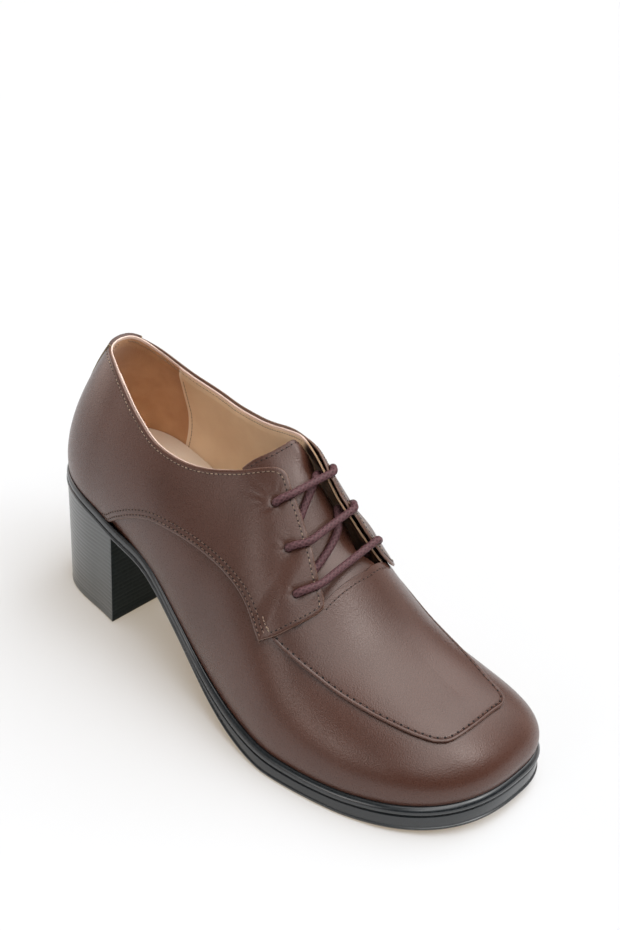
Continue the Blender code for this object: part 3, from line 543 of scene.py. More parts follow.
def liningOut(points, x, side):
    # distance from the collar, and how far the lining rolls out to meet the quarter there
    line = np.linspace(last["back"], upper["throatFrom"], 400)
    gap = distanceTo(points, onLast(line, side, liningTop(line, side), 0.0))
    collar = 1 - between(x, lining["collarEnd"])
    ahead = lining["facing"][side] * (1 - collar) + lining["lift"][side] * between(x, lining["liftStart"])
    ahead = ahead * (1 - (1 - lining["fade"]) * between(x, lining["fadeStart"]))
    return gap, (lining["roll"] * collar + ahead) * ease(1 - gap / lining["rollWidth"])


def liningShare(x, side, v):
    return lining["low"] + (liningTop(x, side) - lining["low"]) * v


def makeLining():
    halves = []
    for side in (lateral, medial):
        v = rowsBetween(np.array([0.0]), np.array([1.0]), lining["rows"], wall=lining["wall"])
        start = toTurn(along(liningSeam, "at", v))
        u = np.concatenate([np.linspace(0, 0.04, 9)[:-1], np.linspace(0.04, 1, lining["stations"])])[:, None]
        x = toStation(start + (1 - start) * u)
        shares = liningShare(x, side, v)
        shares[x >= upper["throatFront"]] = np.minimum(shares, 1.0)[x >= upper["throatFront"]]
        flat = onLast(x, side, shares, 0.0)
        gap, roll = liningOut(flat, x, side)
        rear = distanceTo(flat, resample(flat[0], 0.5))
        points = onLast(x, side, shares, lining["inner"] + lining["thick"] + roll)
        # the shade mask is painted shade on the inner face of the facing; the other masks mark the pale rear
        # seam edge and the tan facing edge
        front = between(x, lining["shadeAndTanEdgeStart"])
        halves.append(addGrid("liningHalf", points, flip=side == medial, values={
            "edge": gap, "eyeletShadeAndPaleEdge": 1 - ease((rear - 0.7) / 0.7), "shade": front * ease((gap - 0.3) / 0.6),
            "facing": front * (gap < 0.3)}))
    return thicken(joinPieces("lining_front", halves), lining["thick"])


def makeHeelLining():
    # suede pocket that the front lining is sewn over
    halves = []
    for side in (lateral, medial):
        v = rowsBetween(np.array([0.0]), np.array([1.0]), lining["rows"], wall=lining["wall"])
        end = along(liningSeam, "at", v) + lining["suedeOver"]
        x = toStation(toTurn(end) * np.linspace(0, 1, 60)[:, None])
        shares = liningShare(x, side, v)
        gap, roll = liningOut(onLast(x, side, shares, 0.0), x, side)
        points = onLast(x, side, shares, lining["inner"] + lining["thick"] + lining["suedeSink"] + roll)
        halves.append(addGrid("suedeHalf", points, flip=side == medial, values={"edge": gap}))
    return thicken(joinPieces("lining_heel", halves), lining["thick"])


dress(makeLining(), beigeLining, "sock_leather")
dress(makeHeelLining(), heelSuede, "sock_leather")

# Quarters
quarter = {
    "outer": 2.8, "thick": 1.15, "end": 157.5, "rise": 1.5, "riseStart": (138.0, 146.0),
    "flare": {lateral: 0.4, medial: 1.5}, "flareShare": 0.12, "flareStart": (116.0, 126.0),
    "flareEnd": (150.0, 157.5), "roundEdge": 0.7, "heelStations": 60, "rows": 64,
    "fanFrom": 140.0, "corner": 145.1, "fanColumns": 40,
    "dimple": 0.55, "dimpleWide": 2.2, "dent": 0.5, "dentWide": 1.7,
    # creases at each eyelet: direction from the toe side, depth, length and half width
    "creases": (((200, 0.10, 5.0, 0.8), (262, 0.14, 4.0, 0.8)),
                ((150, 0.12, 5.0, 0.8), (205, 0.12, 5.0, 0.9), (272, 0.26, 4.0, 0.9)),
                ((140, 0.16, 6.0, 0.9), (170, 0.16, 8.0, 1.0), (196, 0.20, 9.0, 0.9), (220, 0.22, 8.0, 1.0),
                 (243, 0.16, 6.0, 0.9), (276, 0.38, 5.0, 1.1))),
}
quarterLow = {
    "columns": ("x", "lateral", "medial"),
    "rows": (
        (10, 0, 0), (46, 0, 0), (49, 0, 0), (53, 0.05, 0.05), (57, 0.1, 0.1), (64.3, 0.16, 0.16),
        (74, 0.219, 0.219), (87.5, 0.283, 0.283), (104, 0.347, 0.347), (120.8, 0.388, 0.388),
        (133.4, 0.397, 0.4), (142.5, 0.379, 0.395), (144.5, 0.3775, 0.396),
        (145.1, 0.379, 0.398), (145.7, 0.388, 0.406), (150.7, 0.47, 0.485),
        (153, 0.525, 0.535), (155, 0.578, 0.582), (156.4, 0.622, 0.622), (157.2, 0.655, 0.655),
        (157.5, 0.68, 0.68)),
}
eyelets = {lateral: ((148.3, 0.607), (138.4, 0.662), (127.5, 0.703)),
           medial: ((151.0, 0.755), (140.0, 0.8), (129.3, 0.8))}
# where the bars of the lace meet the facings
crossing = {lateral: (152.0, 142.25, 130.25), medial: (151.75, 142.75, 132.25)}


def facingOut(x, side, share):
    rise = quarter["rise"] * between(x, quarter["riseStart"])
    span = between(x, quarter["flareStart"]) * (1 - between(x, quarter["flareEnd"]))
    near = ease(1 - (sideAlong(topline, side, x) - share) / quarter["flareShare"])
    return quarter["outer"] + rise + quarter["flare"][side] * span * near


def quarterOutline(side):
    # lower edge, front of the tab, facing and collar, as sections and shares
    low = np.concatenate([np.arange(46.0, 142.0, 0.5), np.arange(142.0, quarter["end"] + 0.01, 0.1)])
    top = np.concatenate([np.arange(quarter["end"], 150.0, -0.1), np.arange(150.0, last["back"], -0.5)])
    x = np.concatenate([low, top])
    share = np.concatenate([np.maximum(sideAlong(quarterLow, side, low), 0), sideAlong(topline, side, top)])
    return x, share


def creaseDepth(points, side, hole):
    # soft troughs that run out from one eyelet, and the dimple of the eyelet itself
    atX, atShare = np.array([eyelets[side][hole][0]]), np.array([eyelets[side][hole][1]])
    spot = onLast(atX, side, atShare, facingOut(atX, side, atShare))[0]
    forward = (onLast(atX + 1, side, atShare, 0.0) - onLast(atX - 1, side, atShare, 0.0))[0]
    rise = (onLast(atX, side, atShare + 0.01, 0.0) - onLast(atX, side, atShare - 0.01, 0.0))[0]
    forward /= np.linalg.norm(forward)
    rise -= forward * (rise @ forward)
    rise /= np.linalg.norm(rise)
    away = points - spot
    right, up = away @ forward, away @ rise
    far = np.linalg.norm(away, axis=-1)
    depth = quarter["dimple"] * np.exp(-(far / quarter["dimpleWide"]) ** 2)
    for angle, deep, length, wide in quarter["creases"][hole]:
        cos, sin = math.cos(math.radians(angle)), math.sin(math.radians(angle))
        run, off = right * cos + up * sin, up * cos - right * sin
        fade = ease(run / 1.5) * np.exp(-(np.maximum(run, 0) / length) ** 2) * (far < 25)
        ridge = 0.6 * np.exp(-((off - 1.7 * wide) / wide) ** 2)  # pushed up beside the trough
        depth = depth + deep * fade * (np.exp(-(off / wide) ** 2) - ridge)
    edgeX = np.array([crossing[side][hole]])
    edgeShare = sideAlong(topline, side, edgeX)
    bar = onLast(edgeX, side, edgeShare, facingOut(edgeX, side, edgeShare))[0] - spot
    run = away @ bar / np.linalg.norm(bar)
    off = np.sqrt(np.maximum(far**2 - run**2, 0))
    dent = quarter["dent"] * ease(run / 3.0) * np.exp(-(off / quarter["dentWide"]) ** 2) * (far < 20)
    return depth, far, dent


def fanGrid(side, rows):
    # columns ahead of one section turn until the final one lies along the front of the tab
    start, corner, end = quarter["fanFrom"], quarter["corner"], quarter["end"]
    v = (rows - rows[0]) / (rows[-1] - rows[0])
    x = np.arange(corner, end + 0.01, 0.05)
    front = np.column_stack([x, sideAlong(quarterLow, side, x)])
    front = np.concatenate([front, [[end, float(sideAlong(topline, side, end))]]])
    run = np.concatenate([[0], np.cumsum(np.hypot(np.diff(front[:, 0]), np.diff(front[:, 1]) * 75.0))])
    right = np.stack([np.interp(v * run[-1], run, front[:, k]) for k in (0, 1)], axis=-1)[None]
    left = np.stack([np.full_like(rows, start), rows], axis=-1)[None]
    near = np.array([0.7, 0.35, 0.12, 0.0]) / 12.0
    u = 1 - np.concatenate([np.linspace(1, 0.09, quarter["fanColumns"])[1:], near])[:, None]
    lowX, highX = start + (corner - start) * u, start + (end - start) * u
    bottom = np.stack([lowX, sideAlong(quarterLow, side, lowX)], axis=-1)
    top = np.stack([highX, sideAlong(topline, side, highX)], axis=-1)
    u, v = u[..., None], v[None, :, None]
    grid = (1 - v) * bottom + v * top + (1 - u) * left + u * right
    grid = grid - (1 - u) * ((1 - v) * left[:, :1] + v * left[:, -1:])
    grid = grid - u * ((1 - v) * right[:, :1] + v * right[:, -1:])
    return grid[..., 0], grid[..., 1]


def makeQuarter(name, side):
    x = np.concatenate([stationsBetween(last["back"], 60.0, quarter["heelStations"]),
                        np.arange(60.9, 121.0, 0.9), np.arange(121.5, quarter["fanFrom"] + 0.1, 0.5)])
    low = np.maximum(sideAlong(quarterLow, side, x), 0)
    shares = rowsBetween(low, sideAlong(topline, side, x), quarter["rows"])
    fanX, fanShares = fanGrid(side, shares[-1])
    x = np.concatenate([np.repeat(x[:, None], shares.shape[1], axis=1), fanX])
    shares = np.concatenate([shares, fanShares])
    base = facingOut(x, side, shares)
    points = onLast(x, side, shares, base)
    lineX, lineShare = quarterOutline(side)
    outline = onLast(lineX, side, lineShare, facingOut(lineX, side, lineShare))
    gap = distanceTo(points, resample(outline, 0.25))
    reach = quarter["roundEdge"]
    out = base - reach * (1 - np.sqrt(1 - np.clip(1 - gap / reach, 0, 1) ** 2))
    eyeletShadeAndPaleEdge = np.zeros_like(out)
    for hole in range(len(eyelets[side])):
        depth, far, dent = creaseDepth(points, side, hole)
        out = out - depth * ease(gap / 2.0) - dent
        # painted shade round each eyelet, full within 1.5 mm of it
        eyeletShadeAndPaleEdge = np.maximum(eyeletShadeAndPaleEdge, 1 - ease((far - 1.5) / 0.5))
    points = onLast(x, side, shares, out)
    piece = addGrid(name, points, flip=side == medial, values={"edge": gap, "eyeletShadeAndPaleEdge": eyeletShadeAndPaleEdge})
    return thicken(joinPieces(name, [piece], merge=0.000005), quarter["thick"])


dress(makeQuarter("quarter_outer", lateral), brownLeather, "brown_leather", "quarter_lateral")
dress(makeQuarter("quarter_inner", medial), brownLeather, "brown_leather", "quarter_medial")

# Apron with its rolled edge
apron = {"outer": 2.5, "thick": 1.0, "roll": 0.3, "rollWidth": 1.3, "groove": 0.1, "grooveAt": 1.55,
         "grooveWide": 0.45, "rearRow": 1.8, "stations": 190, "rows": 46, "back": 145.0}
apronLow = {
    "columns": ("x", "lateral", "medial"),
    "rows": (
        (145, 0.415, 0.46), (149, 0.425, 0.47), (157, 0.452, 0.495), (167.4, 0.484, 0.525),
        (179.3, 0.513, 0.563), (191, 0.537, 0.609), (202.8, 0.553, 0.656), (213.4, 0.557, 0.685),
        (220.8, 0.562, 0.68), (224.2, 0.585, 0.67), (227.5, 0.64, 0.668), (231, 0.7, 0.69),
        (233.7, 0.742, 0.742)),
}
apronRear = {
    "columns": ("x", "top"),
    "rows": ((145, 0.53), (151, 0.53), (156.6, 0.73), (157, 0.8), (157.4, 0.87), (157.8, 0.94),
             (158.2, 1.0), (159, 1.0)),
}


def apronEdge():
    # the stitched edge from the outer wing round the toe to the inner wing
    x = stationsBetween(apron["back"], last["toe"], 700)
    line = [(x, np.full_like(x, lateral), along(apronLow, "lateral", x)),
            (x[::-1], np.full_like(x, medial), along(apronLow, "medial", x)[::-1])]
    return [np.concatenate(part) for part in zip(*line)]


def makeApron():
    lineX, lineSide, lineShare = apronEdge()
    edge = resample(onLast(lineX, lineSide, lineShare, apron["outer"]), 0.25)
    halves = []
    for side in (lateral, medial):
        x = np.unique(np.concatenate([stationsBetween(apron["back"], last["toe"], apron["stations"]),
                                      np.arange(156.0, 158.6, 0.2)]))
        high = np.minimum(along(apronRear, "top", x), 1.0)
        shares = rowsBetween(sideAlong(apronLow, side, x), high, apron["rows"],
                             edge=(0.0, 0.1, 0.3, 0.6, 0.95, 1.3, 1.65, 2.0, 2.3, 2.6, 2.9, 3.3))
        shares[:, -1] = np.where(x >= 158.2, 1.0, shares[:, -1])
        points = onLast(x[:, None], side, shares, apron["outer"])
        gap = distanceTo(points, edge)
        crown = np.clip(gap / apron["rollWidth"], 0, 1)
        arch = np.sqrt(np.clip(1 - (1 - 2 * crown) ** 2, 0, 1)) * (crown < 1)
        out = apron["outer"] + apron["roll"] * arch
        out = out - apron["groove"] * np.exp(-((gap - apron["grooveAt"]) / apron["grooveWide"]) ** 2)
        halves.append(addGrid("apronHalf", onLast(x[:, None], side, shares, out), flip=side == medial,
                              values={"edge": gap + 0.4, "eyeletShadeAndPaleEdge": np.zeros_like(gap)}))
    return thicken(joinPieces("apron_top", halves), apron["thick"])


dress(makeApron(), brownLeather, "brown_leather", "apron")

# Tongue
tongue = {"deep": -4.0, "flush": 0.8, "thick": 1.4, "top": 108.5, "slantLength": 30.0, "lean": 3.2,
          "front": 162.5, "dive": (147.5, 159.0), "leanAcross": (0.85, 1.15), "leanEnd": (120.0, 129.0),
          "stations": 110, "rows": 60, "roundEdge": 0.7, "row": 5, "smooth": 14}
tongueEdge = {
    "columns": ("x", "lateral", "medial"),
    "rows": (
        (106, 0.66, 0.72), (112, 0.64, 0.72), (122, 0.61, 0.72), (144, 0.6, 0.74), (149, 0.67, 0.8),
        (152, 0.695, 0.885), (156, 0.69, 0.82), (159, 0.715, 0.78), (162.5, 0.76, 0.79)),
}
tongueTop = {  # the top edge by share, counted on over the ridge
    "columns": ("x", "at"),
    "rows": ((0.6, 106.0), (0.7, 109.5), (0.81, 114.3), (0.94, 117.0), (1.05, 117.4), (1.16, 116.6),
             (1.22, 117.5), (1.3, 121.0)),
}


def tongueGrid(across):
    x = np.concatenate([tongue["top"] + np.array([0.0, 0.12, 0.35, 0.7]),
                        np.linspace(tongue["top"] + 1.2, tongue["front"], tongue["stations"])])
    left, right = along(tongueEdge, "lateral", x), 2 - along(tongueEdge, "medial", x)
    shares = left[:, None] + (right - left)[:, None] * across[None, :]
    slant = (1 - ease((x - tongue["top"]) / tongue["slantLength"]))[:, None]
    dive = between(x, tongue["dive"])
    x = x[:, None] + slant * (along(tongueTop, "at", shares) - tongue["top"])
    # up against the inner facing
    lean = tongue["lean"] * between(shares, tongue["leanAcross"]) * (1 - between(x, tongue["leanEnd"]))
    return x, shares, (tongue["deep"] + (tongue["flush"] - tongue["deep"]) * dive)[:, None] + lean


def tongueAt(x, shares, out):
    # the ridge is too sharp to move inward along its own normals, so they are averaged
    normal = sum(skinNormal(toTurn(x), lateral, shares + step) for step in np.linspace(-0.14, 0.14, 9))
    normal /= np.linalg.norm(normal, axis=-1, keepdims=True)
    return onLast(x, lateral, shares, 0.0) + normal * out[..., None]


def tongueShape():
    x, shares, out = tongueGrid(np.linspace(0, 1, tongue["rows"]))
    points = tongueAt(x, shares, out)
    gap = distanceTo(points, resample(points[0], 0.25))
    reach = tongue["roundEdge"]
    out = out - reach * (1 - np.sqrt(1 - np.clip(1 - gap / reach, 0, 1) ** 2))
    points = tongueAt(x, shares, out)
    for turn in range(tongue["smooth"]):  # takes the ridge of the last out of the tongue
        points[:, 1:-1] = (points[:, :-2] + 2 * points[:, 1:-1] + points[:, 2:]) / 4
    return points, gap


def makeTongue(points, gap):
    piece = addGrid("tongue_leather", points, values={"edge": gap, "eyeletShadeAndPaleEdge": np.zeros_like(gap)})
    return thicken(piece, tongue["thick"])


tonguePoints, tongueGap = tongueShape()
dress(makeTongue(tonguePoints, tongueGap), brownLeather, "brown_leather", "tongue")

# Back tab folded over the collar
backTab = {"half": 9.8, "low": 0.30, "inside": 0.614, "over": 2.65, "under": 1.0, "thick": 0.75,
           "lip": 0.001, "columns": 30, "outsideRows": 36, "foldRows": 9, "insideRows": 6}


def makeBackTab():
    top = float(sideAlong(topline, lateral, last["back"]))
    angle = np.linspace(0, math.pi, backTab["foldRows"] + 2)[1:-1]
    middle, half = (backTab["over"] + backTab["under"]) / 2, (backTab["over"] - backTab["under"]) / 2
    share = np.concatenate([np.linspace(backTab["low"], top, backTab["outsideRows"]),
                            top + backTab["lip"] * np.sin(angle),
                            np.linspace(top, backTab["inside"], backTab["insideRows"])])
    out = np.concatenate([np.full(backTab["outsideRows"], backTab["over"]), middle + half * np.cos(angle),
                          np.full(backTab["insideRows"], backTab["under"])])
    small = last["endBlend"]
    middleY, nextY = (skin(np.full_like(share, turn), lateral, share)[:, 1] for turn in (0.0, small))
    across = np.linspace(1, -1, backTab["columns"])
    turn = -across[:, None] * (small * backTab["half"] / (middleY - nextY))[None, :]
    atTop = turn[:, backTab["outsideRows"] - 1]
    drop = sideAlong(topline, np.where(atTop > 0, lateral, medial), toStation(np.abs(atTop))) - top
    follow = np.clip((share - backTab["low"]) / (top - backTab["low"]), 0, 1)
    shares = share[None, :] + drop[:, None] * follow[None, :]
    out = np.broadcast_to(out + backTab["thick"], shares.shape)
    points = skin(turn, lateral, shares) + skinNormal(turn, lateral, shares) * out[..., None]
    gap = np.minimum(distanceTo(points, points[0]), distanceTo(points, points[-1]))
    strip = addGrid("back_strip", points, values={"edge": gap})
    return thicken(strip, backTab["thick"])


dress(makeBackTab(), stripLeather, "brown_leather", "back_tab")
print("upper pieces done")

# Sole: edge profile swept round the feather, tread below
sole = {
    "columns": ("x", "edge", "rim", "scale"),
    "rows": (
        (0, 3.7, 3.1, 0.45), (30, 3.7, 3.1, 0.45), (55, 3.8, 3.1, 0.45), (62, 4, 2.4, 0.5),
        (70, 4.1, 1.6, 0.55), (86, 4, 1.6, 0.6), (98, 3.9, 1.6, 0.65), (112, 4.6, 1.6, 0.75),
        (127, 6, 1.6, 0.9), (142, 7, 1.6, 1), (158, 7.5, 1.6, 1), (173, 7.3, 1.6, 1),
        (188, 7.4, 1.6, 1), (203, 7.8, 1.6, 1), (220, 8.4, 1.6, 1), (234, 8.9, 1.6, 1)),
    "stations": 200, "steps": 5, "capRows": 14,
    # out from the rim, share of the way down to the tread, lift in millimetres
    "profile": (
        (-1.6, 0.0, -0.6), (-0.15, 0.0, -0.35), (-0.15, 0.0, 1.2), (0.35, 0.0, 1.85), (1.2, 0.0, 1.75),
        (2.0, 0.0, 1.05), (2.45, 0.0, 0.15), (2.4, 0.0, -0.8), (2.0, 0.0, -1.4), (1.5, 0.0, -1.7),
        (1.45, 0.0, -2.0), (1.9, 0.0, -2.25), (2.15, 0.0, -2.55), (2.25, 0.5, -0.6), (2.2, 1.0, 1.6),
        (2.35, 1.0, 1.35), (2.65, 1.0, 1.1), (2.7, 1.0, 0.7), (2.55, 1.0, 0.25), (1.9, 1.0, 0.0)),
}


def treadHeight(x):
    return np.maximum(along(last, "feather", x) - along(sole, "edge", x), 0)


def spline(rows, steps):
    # rounded line through a few rows
    rows = np.array(rows, float)
    padded = np.concatenate([2 * rows[:1] - rows[1:2], rows, 2 * rows[-1:] - rows[-2:-1]])
    parts = []
    for k in range(len(rows) - 1):
        a, b, c, d = padded[k:k + 4]
        u = np.linspace(0, 1, steps, endpoint=False)[:, None]
        curve, twist = 2 * a - 5 * b + 4 * c - d, 3 * b - a - 3 * c + d
        parts.append(0.5 * (2 * b + (c - a) * u + curve * u**2 + twist * u**3))
    return np.concatenate(parts + [rows[-1:]])


def makeSole():
    x = stationsBetween(last["back"], last["toe"], sole["stations"])
    feather, tread = along(last, "feather", x), treadHeight(x)
    sheets, walls = [], {}
    for side in (lateral, medial):
        rings = []
        for out, share, lift in spline(sole["profile"], sole["steps"]):
            plan = soleRing(x, side, along(sole, "rim", x) + out * along(sole, "scale", x))
            rings.append(np.column_stack([plan, feather + (tread - feather) * share + lift]))
        walls[side] = np.stack(rings, axis=1)
        sheets.append(addGrid("soleWall", walls[side], flip=side == lateral))
    share = np.linspace(0, 1, sole["capRows"])[None, :, None]
    for row, flip in ((0, False), (-1, True)):
        left, right = walls[lateral][:, None, row], walls[medial][:, None, row]
        sheets.append(addGrid("soleCap", left + (right - left) * share, flip=flip))
    return joinPieces("sole_unit", sheets)


dress(makeSole(), soleRubber, "black_rubber", "outsole")

# Heel block with its level ribs, and the top lift
heel = {
    "breast": 52.0, "topOut": 3.9, "footOut": 3.8, "tuck": 2.0, "footTuck": 3.2, "waist": 3.0, "gap": 0.3,
    "joint": 0.02, "liftHeight": 3.4, "liftOut": 3.8, "corner": 0.5, "bareFrom": 0.6,
    "rib": 0.11, "ribPitch": 2.1, "ribFrom": 3.8, "ribTo": 1.2, "ribFade": 0.8,
    "ringPoints": 64, "rows": 180,
    # edge of the lift: out from its plan line, and height
    "liftEdge": ((-0.5, 0.0), (-0.2, 0.12), (0.0, 0.4), (0.0, 1.2), (0.0, 3.1), (-0.06, 3.3), (-0.2, 3.4)),
}


def heelLoop(reach, waist, tuck):
    # closed plan line: outer side, back, inner side and the straight breast
    x = stationsBetween(last["back"], heel["breast"], heel["ringPoints"])
    share = (x - last["back"]) / (heel["breast"] - last["back"])
    out = reach - tuck * share**2 - waist * np.sin(math.pi * share)
    left, right = soleRing(x, lateral, out), soleRing(x, medial, out)
    line = np.concatenate([left[::-1], right[1:]])
    run = np.concatenate([[0], np.cumsum(np.linalg.norm(np.diff(line, axis=0), axis=1))])
    cut = heel["corner"]
    at = np.linspace(cut, run[-1] - cut, 2 * heel["ringPoints"])
    body = np.stack([np.interp(at, run, line[:, k]) for k in (0, 1)], axis=-1)
    toward = (line[0] - line[-1]) / np.linalg.norm(line[0] - line[-1])
    rest = []
    for corner, start, end in ((line[-1], body[-1], line[-1] + toward * cut),
                               (line[0], line[0] - toward * cut, body[0])):
        u = np.linspace(0, 1, 6)[:, None]
        rest.append((1 - u) ** 2 * start + 2 * u * (1 - u) * corner + u**2 * end)
    u = np.linspace(0, 1, 24)[1:-1, None]
    straight = rest[0][-1] + (rest[1][0] - rest[0][-1]) * u
    return np.concatenate([body, rest[0][1:], straight, rest[1]])


def loopNormals(loop):
    run = np.roll(loop[:-1], -1, axis=0) - np.roll(loop[:-1], 1, axis=0)
    normal = np.stack([-run[:, 1], run[:, 0]], axis=-1)
    normal /= np.linalg.norm(normal, axis=1, keepdims=True)
    return np.concatenate([normal, normal[:1]])


def blockFrom(name, rings, normal):
    polish = (normal[:, :1] < heel["bareFrom"]) * 1.0  # the breast is left bare
    return closeEnds(addGrid(name, np.stack(rings, axis=1), values={"polish": polish}))


def makeHeel():
    top = heelLoop(heel["topOut"], 0.0, heel["tuck"])
    foot = heelLoop(heel["footOut"], heel["waist"], heel["footTuck"])
    low = heel["liftHeight"] + heel["joint"]
    high = treadHeight(top[:, 0]) - heel["gap"]
    rings = []
    for share in np.linspace(0, 1, heel["rows"]):
        plan = foot + (top - foot) * share
        z = low + (high - low) * share
        ribbed = ease((z - heel["ribFrom"]) / heel["ribFade"])
        ribbed = ribbed * ease((high - heel["ribTo"] - z) / heel["ribFade"])
        uneven = 0.35 + 0.65 * np.abs(np.sin(7.3 * np.floor(z / heel["ribPitch"])))
        wave = -heel["rib"] * ribbed * uneven * (0.5 - 0.5 * np.cos(2 * math.pi * z / heel["ribPitch"])) ** 2
        plan = plan + loopNormals(foot) * wave[:, None]
        rings.append(np.column_stack([plan, z]))
    return blockFrom("heel_block", rings, loopNormals(foot))


def makeLift():
    loop = heelLoop(heel["liftOut"], heel["waist"], heel["footTuck"])
    normal = loopNormals(loop)
    rings = []
    for out, z in heel["liftEdge"]:
        rings.append(np.column_stack([loop + normal * out, np.full(len(loop), z)]))
    return blockFrom("heel_lift", rings, normal)


dress(makeHeel(), heelBlack, "black_stacked_heel", "heel")
dress(makeLift(), heelBlack, "black_rubber", "top_lift")

# Insole sock, slightly dished
sock = {"inset": -0.9, "thick": 2.5, "dish": 0.5, "pad": 3.2, "padWide": 1.3, "padEnd": (65.0, 115.0),
        "endGap": 0.6, "sheet": 1.5, "stations": 120, "rows": 24}


def makeSock():
    x = stationsBetween(last["back"] + sock["endGap"], last["toe"] - sock["endGap"], sock["stations"])
    pad = 1 - between(x, sock["padEnd"])
    edge = {side: soleRing(x, side, sock["inset"] + sock["padWide"] * pad) for side in (lateral, medial)}
    share = np.linspace(0, 1, sock["rows"])[None, :]
    plan = edge[lateral][:, None] + (edge[medial] - edge[lateral])[:, None] * share[..., None]
    height = along(last, "feather", x) + sock["thick"] + sock["pad"] * pad
    z = height[:, None] - sock["dish"] * np.sin(math.pi * share)
    points = np.concatenate([plan, z[..., None]], axis=-1)
    return thicken(addGrid("insole_sock", points), sock["sheet"])


dress(makeSock(), sockLeather, "sock_leather", "insole")

# Lace: one waxed cord through the three pairs of eyelets
lace = {
    "radius": 1.5, "under": -2.4, "near": 0.6, "far": 2.2, "dip": 0.5, "crest": 0.7, "clear": -0.35,
    "press": 0.25, "end": 5.0, "part": 0.6, "sag": (4.0, 0.0), "wall": 75.0, "barSteps": 3, "crossSteps": 6,
    "around": 30, "pitch": 0.25, "strands": 5, "braid": 0.045, "braidPitch": 2.2,
}


def lacePoint(x, wide, out):
    return onLast(np.array([x]), lateral, np.array([wide]), np.array([out]))[0]


def laceTop(x, wide):
    side, share = (lateral, wide) if wide < 1 else (medial, 2 - wide)
    return float(facingOut(np.array(x), side, np.array(share)))


def laceOver(x, wide):
    return lacePoint(x, wide, laceTop(x, wide) + lace["radius"] + lace["clear"])


def eyeletTurn(x, wide, inboard, below, lean):
    # from under the leather up through an eyelet and over towards the other side
    near, far, top = lace["near"] / lace["wall"], lace["far"] / lace["wall"], laceTop(x, wide)
    return [lacePoint(x, wide + below * far, lace["under"]),
            lacePoint(x, wide + below * near, lace["under"] + lace["dip"]),
            lacePoint(x, wide, -0.5), lacePoint(x, wide, top),
            lacePoint(x + lean * near, wide + inboard * near, top + lace["crest"]),
            laceOver(x + lean * far, wide + inboard * far)]


def laceBar(start, bow):
    outset = start[1] - lace["far"] / lace["wall"]
    inner = 2 - float(sideAlong(topline, medial, bow[1]))
    outer = float(sideAlong(topline, lateral, bow[0]))
    leave = laceOver(bow[1], inner)
    above = laceTop(bow[0], outer) + lace["radius"] + lace["clear"] - lace["press"]
    arrive = lacePoint(bow[0], outer, above)
    steps = lace["barSteps"] + 1
    middle = [leave + (arrive - leave) * k / steps for k in range(1, steps)]
    part = lace["part"]
    first = laceOver(start[0] + (bow[1] - start[0]) * part, outset + (inner - outset) * part)
    return [first, leave] + middle + [arrive]


def lacePath():
    far, spare = lace["far"] / lace["wall"], lace["end"] / lace["wall"]
    outer = list(eyelets[lateral])
    inner = [(x, 2 - share) for x, share in eyelets[medial]]
    final = len(outer) - 1
    points = [lacePoint(inner[0][0], inner[0][1] + spare, lace["under"])]
    for k in range(final + 1):
        bow = crossing[lateral][k], crossing[medial][k]
        leanIn = (bow[1] - inner[k][0]) / (inner[k][1] - 2 + float(sideAlong(topline, medial, bow[1])))
        leanOut = (bow[0] - outer[k][0]) / (float(sideAlong(topline, lateral, bow[0])) - outer[k][1])
        points += eyeletTurn(*inner[k], -1, 1 if k == 0 else -1, leanIn)
        points += laceBar(inner[k], bow)
        points += eyeletTurn(*outer[k], 1, 1 if k < final else -1, leanOut)[::-1]
        if k < final:
            for step in range(1, lace["crossSteps"]):
                share = step / lace["crossSteps"]
                x = outer[k][0] + (inner[k + 1][0] - outer[k][0]) * share
                x += lace["sag"][k] * math.sin(math.pi * share)
                wide = outer[k][1] + far + (inner[k + 1][1] - outer[k][1] - 2 * far) * share
                points.append(lacePoint(x, wide, lace["under"]))
    points.append(lacePoint(outer[final][0], outer[final][1] - spare, lace["under"]))
    return np.array(points)


def makeLace():
    path = resample(spline(lacePath(), 8), lace["pitch"])
    run = np.gradient(path, axis=0)
    run /= np.linalg.norm(run, axis=1, keepdims=True)
    side = np.cross(run[0], (0, 0, 1.0))
    sides = []
    for step in run:  # carry one side vector along without twist
        side = side - step * (side @ step)
        side = side / np.linalg.norm(side)
        sides.append(side)
    sides = np.array(sides)
    ups = np.cross(sides, run)
    angle = np.linspace(0, 2 * math.pi, lace["around"] + 1)
    length = np.arange(len(path)) * lace["pitch"]
    around = lace["strands"] * angle[None]
    advance = 2 * math.pi * length[:, None] / lace["braidPitch"]
    weave = np.maximum(np.sin(around + advance), np.sin(around - advance))
    radius = lace["radius"] - lace["braid"] + lace["braid"] * weave
    ring = np.cos(angle)[None, :, None] * sides[:, None] + np.sin(angle)[None, :, None] * ups[:, None]
    points = path[:, None] + ring * radius[..., None]
    return closeEnds(addGrid("lace_cord", points, values={"weave": weave}))


